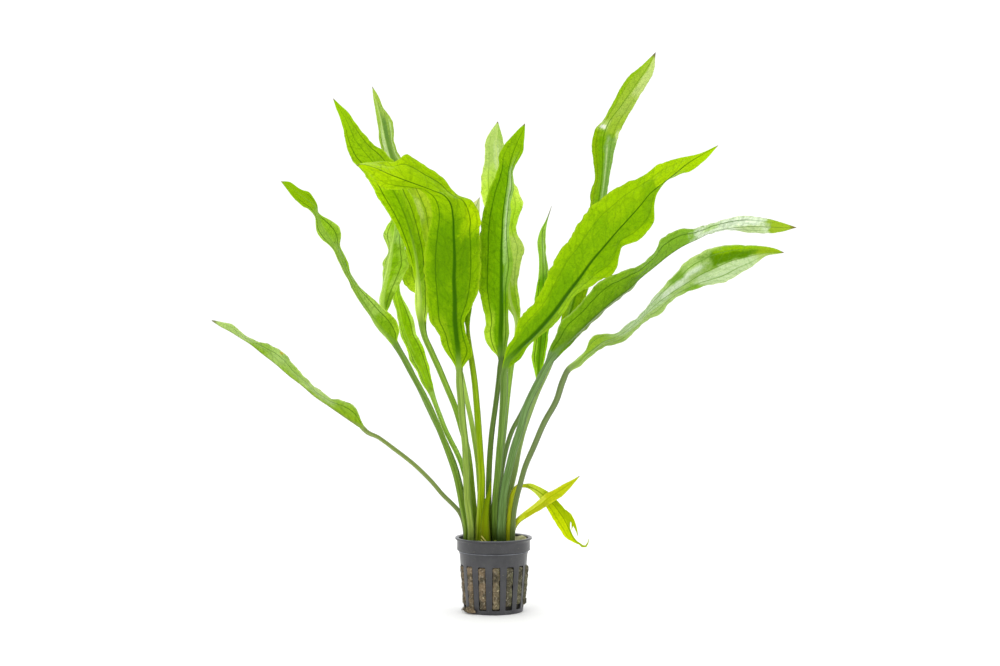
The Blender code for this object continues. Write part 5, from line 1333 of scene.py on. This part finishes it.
def wool_radius(angle, z):
    """The plug's radius, and how far its surface is up on a lobe: it bulges out in each slot."""
    index = round((angle + pi / 2 - SLOT_TURN) / (2 * pi / SLOT_COUNT))
    inside = min(body_radius(z), COLLAR_RADIUS) - WALL - WOOL_GAP
    if z > STEP_Z + 0.8:
        inside = COLLAR_RADIUS - WALL - WOOL_GAP
    across = (angle - slot_angle(index)) * body_radius(z)
    index %= SLOT_COUNT
    low, high = lobe_ends(index)
    lean = 0.45 * rough((index * 9.0, 0, z), 6.0)
    narrow = LOBE_HALF_WIDTH * (0.92 + 0.16 * rough((index * 5.0, 30, z), 5.0))
    aside = max(0.0, 1 - ((across - lean) / narrow) ** 2) ** 0.5
    along = max(0.0, min(1.0, (z - low) / 1.2, (high - z) / 1.2)) ** 0.5
    lump = 0.6 * rough((across, index * 13.0, z), 3.4) + 0.25 * rough((across, index * 7.0, z), 1.3)
    proud = LOBE_PROUD.get(index, 0.5)
    return inside + aside * along * max(0.4, WALL + WOOL_GAP + proud + lump), aside * along


def crest_z(x, y, share):
    """Height of the plug's top: share is 0 at the crown and 1 at the wall."""
    crest = WOOL_CREST_Z + WOOL_LEAN * x / (COLLAR_RADIUS - WALL)
    edge = WOOL_EDGE_Z + 0.6 * WOOL_LEAN * x / (COLLAR_RADIUS - WALL)
    lump = 2.1 * np.exp(-((x - 18) ** 2 + (y - 6) ** 2) / 36)
    hump = sin(min(1.0, share / 0.9) * pi / 2)
    return CROWN_FOOT_Z + (crest - CROWN_FOOT_Z) * hump + (edge - crest) * max(0.0, share - 0.8) / 0.2 + lump


def crown_reach(angle):
    """From the crown's middle to its outline."""
    return 1 / hypot(cos(angle) / CROWN_HALF_SIZE[0], sin(angle) / CROWN_HALF_SIZE[1])


def top_spot(x, y, share, gap):
    """The place on the plug's top at a share of the way from the crown, and a gap, out to (x, y)."""
    away = Vector((x - CROWN_CENTRE[0], y - CROWN_CENTRE[1]))
    inner = crown_reach(atan2(y - CROWN_CENTRE[1], x - CROWN_CENTRE[0])) + gap
    return Vector(CROWN_CENTRE) + away * (inner / away.length + (1 - inner / away.length) * share)


def wool_rings():
    """Rings of (x, y, z) from the middle of the foot up the wall and over to the crown, and the places in
    the slots by vertex number, as a share from 0 in the gap beside a lobe to 1 on it."""
    lobes = {}
    angles = [2 * pi * i / WOOL_COLUMNS for i in range(WOOL_COLUMNS)]
    rings = []
    for share in (0.3, 0.7, 0.97):
        reach = share * (BODY_BOTTOM_RADIUS - WALL - WOOL_GAP)
        rings.append([(reach * cos(a), reach * sin(a), WOOL_FOOT_Z) for a in angles])
    for z in np.linspace(WOOL_FOOT_Z + 0.3, WOOL_EDGE_Z - WOOL_LEAN, WOOL_ROWS):
        ring = []
        for a in angles:
            reach, up = wool_radius(a, z)
            fine = rough((reach * cos(a), reach * sin(a), z), 1.3, 5.0)
            reach += 0.2 * fine - 0.08
            ring.append((reach * cos(a), reach * sin(a), z))
            lobes[len(rings) * len(angles) + len(ring) - 1] = up if z < SLOT_TOP_Z else 1.0
        rings.append(ring)
    edge = rings[-1]
    for share in np.linspace(1.0, 0.0, WOOL_TOP_ROWS):
        ring = []
        for x, y, _ in edge:
            spot = top_spot(x, y, share, 0.5)
            bump = 0.45 * rough((spot.x, spot.y, 0), 3.0, 2.0) + 0.22 * rough((spot.x, spot.y, 0), 1.1, 7.0)
            z = crest_z(spot.x, spot.y, share) + bump * min(1.0, 3 * share)
            ring.append((spot.x, spot.y, max(z, CROWN_FOOT_Z - 0.5)))
        rings.append(ring)
    return rings, lobes


def fibre(chance, start, outwards, length):
    """The points of one thin curved fibre that lies over the wool."""
    sideways = outwards.cross(Vector([chance.uniform(-1, 1) for _ in range(3)])).normalized()
    bend = outwards.cross(sideways) * chance.uniform(-0.5, 0.5)
    points = []
    for i in range(6):
        t = i / 5 - 0.5
        lift = 0.35 * (0.10 - 0.8 * t * t) + 0.05
        points.append(start + sideways * (t * length) + bend * (t * t * length) + outwards * lift)
    return points


def add_tube(verts, faces, points, radius, sides=3):
    """A thin tube along points, narrower at both ends."""
    first = len(verts)
    for i, point in enumerate(points):
        along = (points[min(i + 1, len(points) - 1)] - points[max(i - 1, 0)]).normalized()
        side = along.orthogonal().normalized()
        other = along.cross(side)
        here = radius * (0.5 if i in (0, len(points) - 1) else 1.0)
        for k in range(sides):
            a = 2 * pi * k / sides
            verts.append(tuple((point + (side * cos(a) + other * sin(a)) * here) * MM))
    faces += tube_faces(first, len(points), sides)


def wool_fibres(verts, faces):
    """Single fibres: three in four lie in the slots, the others on the plug's top."""
    chance = np.random.default_rng(FIBRE_SEED)
    for number in range(FIBRE_COUNT):
        if number % 4:
            index = chance.integers(SLOT_COUNT)
            low, high = lobe_ends(index)
            z = chance.uniform(low + 0.3, high - 0.3)
            angle = slot_angle(index) + chance.uniform(-1.7, 1.7) / body_radius(z)
            reach = wool_radius(angle, z)[0]
            start = Vector((reach * cos(angle), reach * sin(angle), z))
            outwards = Vector((cos(angle), sin(angle), 0))
            length = chance.uniform(1.0, 2.6)
        else:
            angle = chance.uniform(0, 2 * pi)
            share = chance.uniform(0.25, 0.95)
            rim = COLLAR_RADIUS - WALL - 0.8
            spot = top_spot(rim * cos(angle), rim * sin(angle), share, 1.5)
            start = Vector((spot.x, spot.y, crest_z(spot.x, spot.y, share) + 0.2))
            outwards = Vector((0, 0, 1))
            length = chance.uniform(1.5, 4.5)
        radius = FIBRE_RADIUS * chance.uniform(0.7, 1.5)
        add_tube(verts, faces, fibre(chance, start, outwards, length), radius)


def tuft_centre(t):
    """The middle line of the tuft, from its back end at 0 to its front end at 1."""
    angle = TUFT_START + TUFT_TURN * t
    return Vector((TUFT_RADIUS * cos(angle), TUFT_RADIUS * sin(angle), 2.0 + 0.9 * sin(pi * t)))


def add_tuft(verts, faces):
    """The tuft of wool and roots that hangs out of a slot and lies beside the foot, at the left."""
    first = len(verts)
    for i in range(TUFT_ROWS + 1):
        t = i / TUFT_ROWS
        centre = tuft_centre(t)
        outwards = Vector((centre.x, centre.y, 0)).normalized()
        size = TUFT_HALF * sin(pi * min(max(t, 0.02), 0.98)) ** 0.5
        for k in range(TUFT_COLUMNS):
            a = 2 * pi * k / TUFT_COLUMNS
            point = centre + (outwards * (0.85 * cos(a)) + Vector((0, 0, sin(a)))) * size
            lump = 0.55 * rough(point, 1.8, 3.0) + 0.25 * rough(point, 0.8, 9.0)
            point += (outwards + Vector((0, 0, 0.8))) * lump
            verts.append((point.x * MM, point.y * MM, max(point.z, 0.1) * MM))
    faces += tube_faces(first, TUFT_ROWS + 1, TUFT_COLUMNS)
    chance = np.random.default_rng(TUFT_SEED)
    for _ in range(TUFT_FIBRES):
        spot = tuft_centre(chance.uniform(0.05, 0.95))
        side = Vector((spot.x, spot.y, 0)).normalized()
        outwards = (side + Vector((0, 0, chance.uniform(-0.3, 1.2)))).normalized()
        points = fibre(chance, spot + outwards * 1.5, outwards, chance.uniform(1.5, 3.8))
        points = [Vector((p.x, p.y, max(p.z, 0.12))) for p in points]
        add_tube(verts, faces, points, FIBRE_RADIUS)


def wool_material():
    g = Graph("wet mineral wool")
    place = g.place()
    x, z = g.axis(place, "X"), g.axis(place, "Z")
    cloud = g.noise(place, 160.0, 4.0, 0.6)
    grain = g.noise(place, 700.0, 4.0, 0.7)
    specks = g.noise(place, 520.0, 3.0, 0.6)
    drift = g.plus(g.times(x, 40.0), cloud)
    # The darkest grain is painted shade in the crevices among the fibres, and the near black beside each lobe
    # is painted shade in the gap between lobe and slot edge.
    colour = g.layers(
        (124, 107, 82), (drift, 0.35, 1.0, 0.0, 1.0, (98, 96, 70)),
        (cloud, 0.35, 0.60, 0.85, 0.0, (64, 60, 44)), (grain, 0.52, 0.70, 0.0, 0.75, (160, 152, 134)),
        (grain, 0.46, 0.32, 0.0, 0.9, (34, 31, 20)), (specks, 0.62, 0.72, 0.0, 0.75, (198, 184, 148)),
        (g.attribute("lobe"), 0.02, 0.42, 0.9, 0.0, (20, 18, 14)),
    )
    on_top = g.step(z, WOOL_TOP_Z[0] * MM, WOOL_TOP_Z[1] * MM)
    top = g.mix(g.step(g.plus(cloud, g.times(x, 18.0)), 0.45, 0.85), (96, 88, 46), (206, 204, 158))
    colour = g.mix(g.times(on_top, 0.8), colour, top)
    # Painted shade in the crevices of the plug's top.
    colour = g.mix(g.times(on_top, g.step(grain, 0.5, 0.35, 0.0, 0.8)), colour, (60, 56, 26))
    normal = g.bump(g.plus(grain, specks), 0.4, 0.9)
    return g.coat(colour, g.step(specks, 0.3, 0.7, 0.55, 0.9), 0.3, Normal=normal)


def build_wool():
    rings, lobes = wool_rings()
    around = len(rings[0])
    verts = [(x * MM, y * MM, z * MM) for ring in rings for x, y, z in ring]
    faces = ring_quads(0, len(rings), around)
    for ring, z in ((0, WOOL_FOOT_Z), (len(rings) - 1, CROWN_FOOT_Z - 0.5)):
        faces += fan(ring * around, around, len(verts))
        verts.append((CROWN_CENTRE[0] * MM, CROWN_CENTRE[1] * MM, z * MM))
    wool_fibres(verts, faces)
    add_tuft(verts, faces)
    # lobe carries where the material paints shade in the gaps beside the lobes.
    mesh = new_mesh("mineral_wool_plug", verts, faces, lobe=[lobes.get(i, 1.0) for i in range(len(verts))])
    mesh.shade_smooth()
    add_piece("mineral_wool_plug", mesh, wool_material(), "wool", "mineral_wool")


# ---------------------------------------------------------------- crown

def crown_z(x, y, share):
    """Height of the rootstock's top, which rises round each stalk's foot."""
    height = CROWN_TOP_Z - 2.4 * share**6 + 0.5 * rough((x, y, 0), 4.0) + 0.2 * rough((x, y, 0), 1.3)
    for leaf in LEAVES.values():
        away = hypot(x - leaf["base"][0], y - leaf["base"][1]) / (leaf["half_width"][0] + 0.35)
        height = max(height, CROWN_TOP_Z - 0.3 + SHEATH_HEIGHT * np.exp(-(away**4)) * (1 - share**8))
    return height


def crown_material():
    g = Graph("green rootstock")
    place = g.place()
    cloud = g.noise(place, 220.0, 4.0, 0.6)
    grain = g.noise(place, 900.0, 3.0, 0.6)
    colour = g.layers(
        (92, 88, 34), (cloud, 0.35, 0.65, 0.0, 1.0, (128, 122, 58)),
        (g.axis(place, "Z"), CROWN_GREEN_Z[0] * MM, CROWN_GREEN_Z[1] * MM, 0.0, 1.0, (118, 134, 34)),
        (grain, 0.55, 0.75, 0.0, 0.5, (170, 166, 100)),
    )
    colour = g.mix(g.attribute("husk"), colour, (196, 188, 96))
    return g.coat(colour, g.step(grain, 0.3, 0.7, 0.4, 0.7), 0.3, Normal=g.bump(grain, 0.2, 0.7))


def build_crown():
    around = CROWN_COLUMNS
    angles = [2 * pi * i / around for i in range(around)]
    verts = []
    levels = [(share, None) for share in np.linspace(0.03, 1.0, CROWN_ROWS)]
    levels += [(1.0, CROWN_FOOT_Z + 0.4), (0.96, CROWN_FOOT_Z)]
    for share, z in levels:
        for a in angles:
            reach = crown_reach(a) * share
            x, y = CROWN_CENTRE[0] + reach * cos(a), CROWN_CENTRE[1] + reach * sin(a)
            verts.append((x * MM, y * MM, (crown_z(x, y, share) if z is None else z) * MM))
    faces = ring_quads(0, len(levels), around)
    faces += [tuple(range(around)), tuple(range((len(levels) - 1) * around, len(levels) * around))]
    chance = np.random.default_rng(STUB_SEED)
    for _ in range(STUB_COUNT):
        a = chance.uniform(0, 2 * pi)
        reach = crown_reach(a) * chance.uniform(0.72, 0.98)
        foot = Vector((CROWN_CENTRE[0] + reach * cos(a), CROWN_CENTRE[1] + reach * sin(a), CROWN_TOP_Z - 0.6))
        outwards = Vector((cos(a), sin(a), 0))
        length = chance.uniform(1.5, 3.2)
        points = []
        for t in (0.0, 0.2, 0.4, 0.6, 0.8, 1.0):
            lift = 1.5 * sin(pi * t) * chance.uniform(0.8, 1.2)
            points.append(foot + outwards * (length * t) + Vector((0, 0, lift)))
        add_tube(verts, faces, points, chance.uniform(0.25, 0.45), 6)
    husk_start = len(verts)
    for start, end, radius in HUSK:
        points = [Vector(start).lerp(Vector(end), t) + Vector((0, -0.9 * sin(pi * t), 0))
                  for t in (0.0, 0.25, 0.5, 0.75, 1.0)]
        add_tube(verts, faces, points, radius, 6)
    husk = [float(i >= husk_start) for i in range(len(verts))]
    mesh = new_mesh("crown_rootstock", verts, faces, husk=husk)
    mesh.shade_smooth()
    add_piece("crown_rootstock", mesh, crown_material(), "rootstock", "crown")


# ---------------------------------------------------------------- stage

WHITE = (255, 255, 255)
LIT_POINT = (0, 0, 0.2)


def area_light(name, place, size, power):
    """A round soft light that shines on the plant's middle; size in metres, power in watts."""
    data = bpy.data.lights.new(name, "AREA")
    data.shape = "DISK"
    data.size = size
    data.energy = power
    lamp = bpy.data.objects.new(name, data)
    lamp.location = place
    lamp.rotation_euler = (Vector(LIT_POINT) - Vector(place)).to_track_quat("-Z", "Y").to_euler()
    lamp.visible_camera = False
    bpy.context.scene.collection.objects.link(lamp)


def build_world():
    """Soft light that comes most from behind and above; the camera sees plain white."""
    g = Graph("studio", "worlds")
    bpy.context.scene.world = g.owner
    direction = g.add("ShaderNodeTexCoord").outputs["Generated"]
    behind = g.step(g.axis(direction, "Y"), -0.5, 0.4, 0.45, 1.15)
    above = g.step(g.axis(direction, "Z"), 0.25, 0.9, 0.0, 0.6)
    light = g.add("ShaderNodeBackground", {"Color": WHITE, "Strength": g.plus(behind, above)})
    white = g.add("ShaderNodeBackground", {"Color": WHITE, "Strength": 1.1})
    seen = g.add("ShaderNodeLightPath").outputs["Is Camera Ray"]
    mixed = g.add("ShaderNodeMixShader", {0: seen, 1: light.outputs[0], 2: white.outputs[0]})
    g.surface(mixed, "ShaderNodeOutputWorld")


def build_stage():
    bpy.ops.mesh.primitive_circle_add(vertices=96, radius=8.0, fill_type="NGON", location=(0, 0, 0))
    floor = bpy.context.object
    floor.name = "floor"
    g = Graph("pale floor")
    paper = g.noise(g.place(), 90.0, 3.0)
    floor.data.materials.append(g.coat(g.mix(paper, (247, 247, 247), (250, 250, 250)), 0.7, 0.1))
    build_world()
    area_light("key", (-0.9, -1.6, 0.8), 1.4, 13.0)
    area_light("fill", (1.2, -1.5, 0.5), 1.6, 8.0)


def build_camera():
    data = bpy.data.cameras.new("camera")
    data.lens = CAMERA_LENS
    data.clip_start = 0.01
    camera = bpy.data.objects.new("camera", data)
    camera.location = CAMERA_PLACE
    camera.rotation_euler = (radians(90), 0, 0)
    bpy.context.scene.collection.objects.link(camera)
    bpy.context.scene.camera = camera
    bpy.context.scene.view_settings.view_transform = "Standard"


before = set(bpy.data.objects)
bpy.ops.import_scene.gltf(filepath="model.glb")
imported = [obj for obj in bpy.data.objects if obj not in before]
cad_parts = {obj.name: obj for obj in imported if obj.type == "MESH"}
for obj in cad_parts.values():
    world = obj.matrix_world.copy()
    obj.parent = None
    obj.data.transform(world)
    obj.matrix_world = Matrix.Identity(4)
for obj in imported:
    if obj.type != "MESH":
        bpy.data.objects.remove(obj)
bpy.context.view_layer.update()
build_camera()
build_stage()
build_pot()
build_wool()
build_crown()
build_leaves()
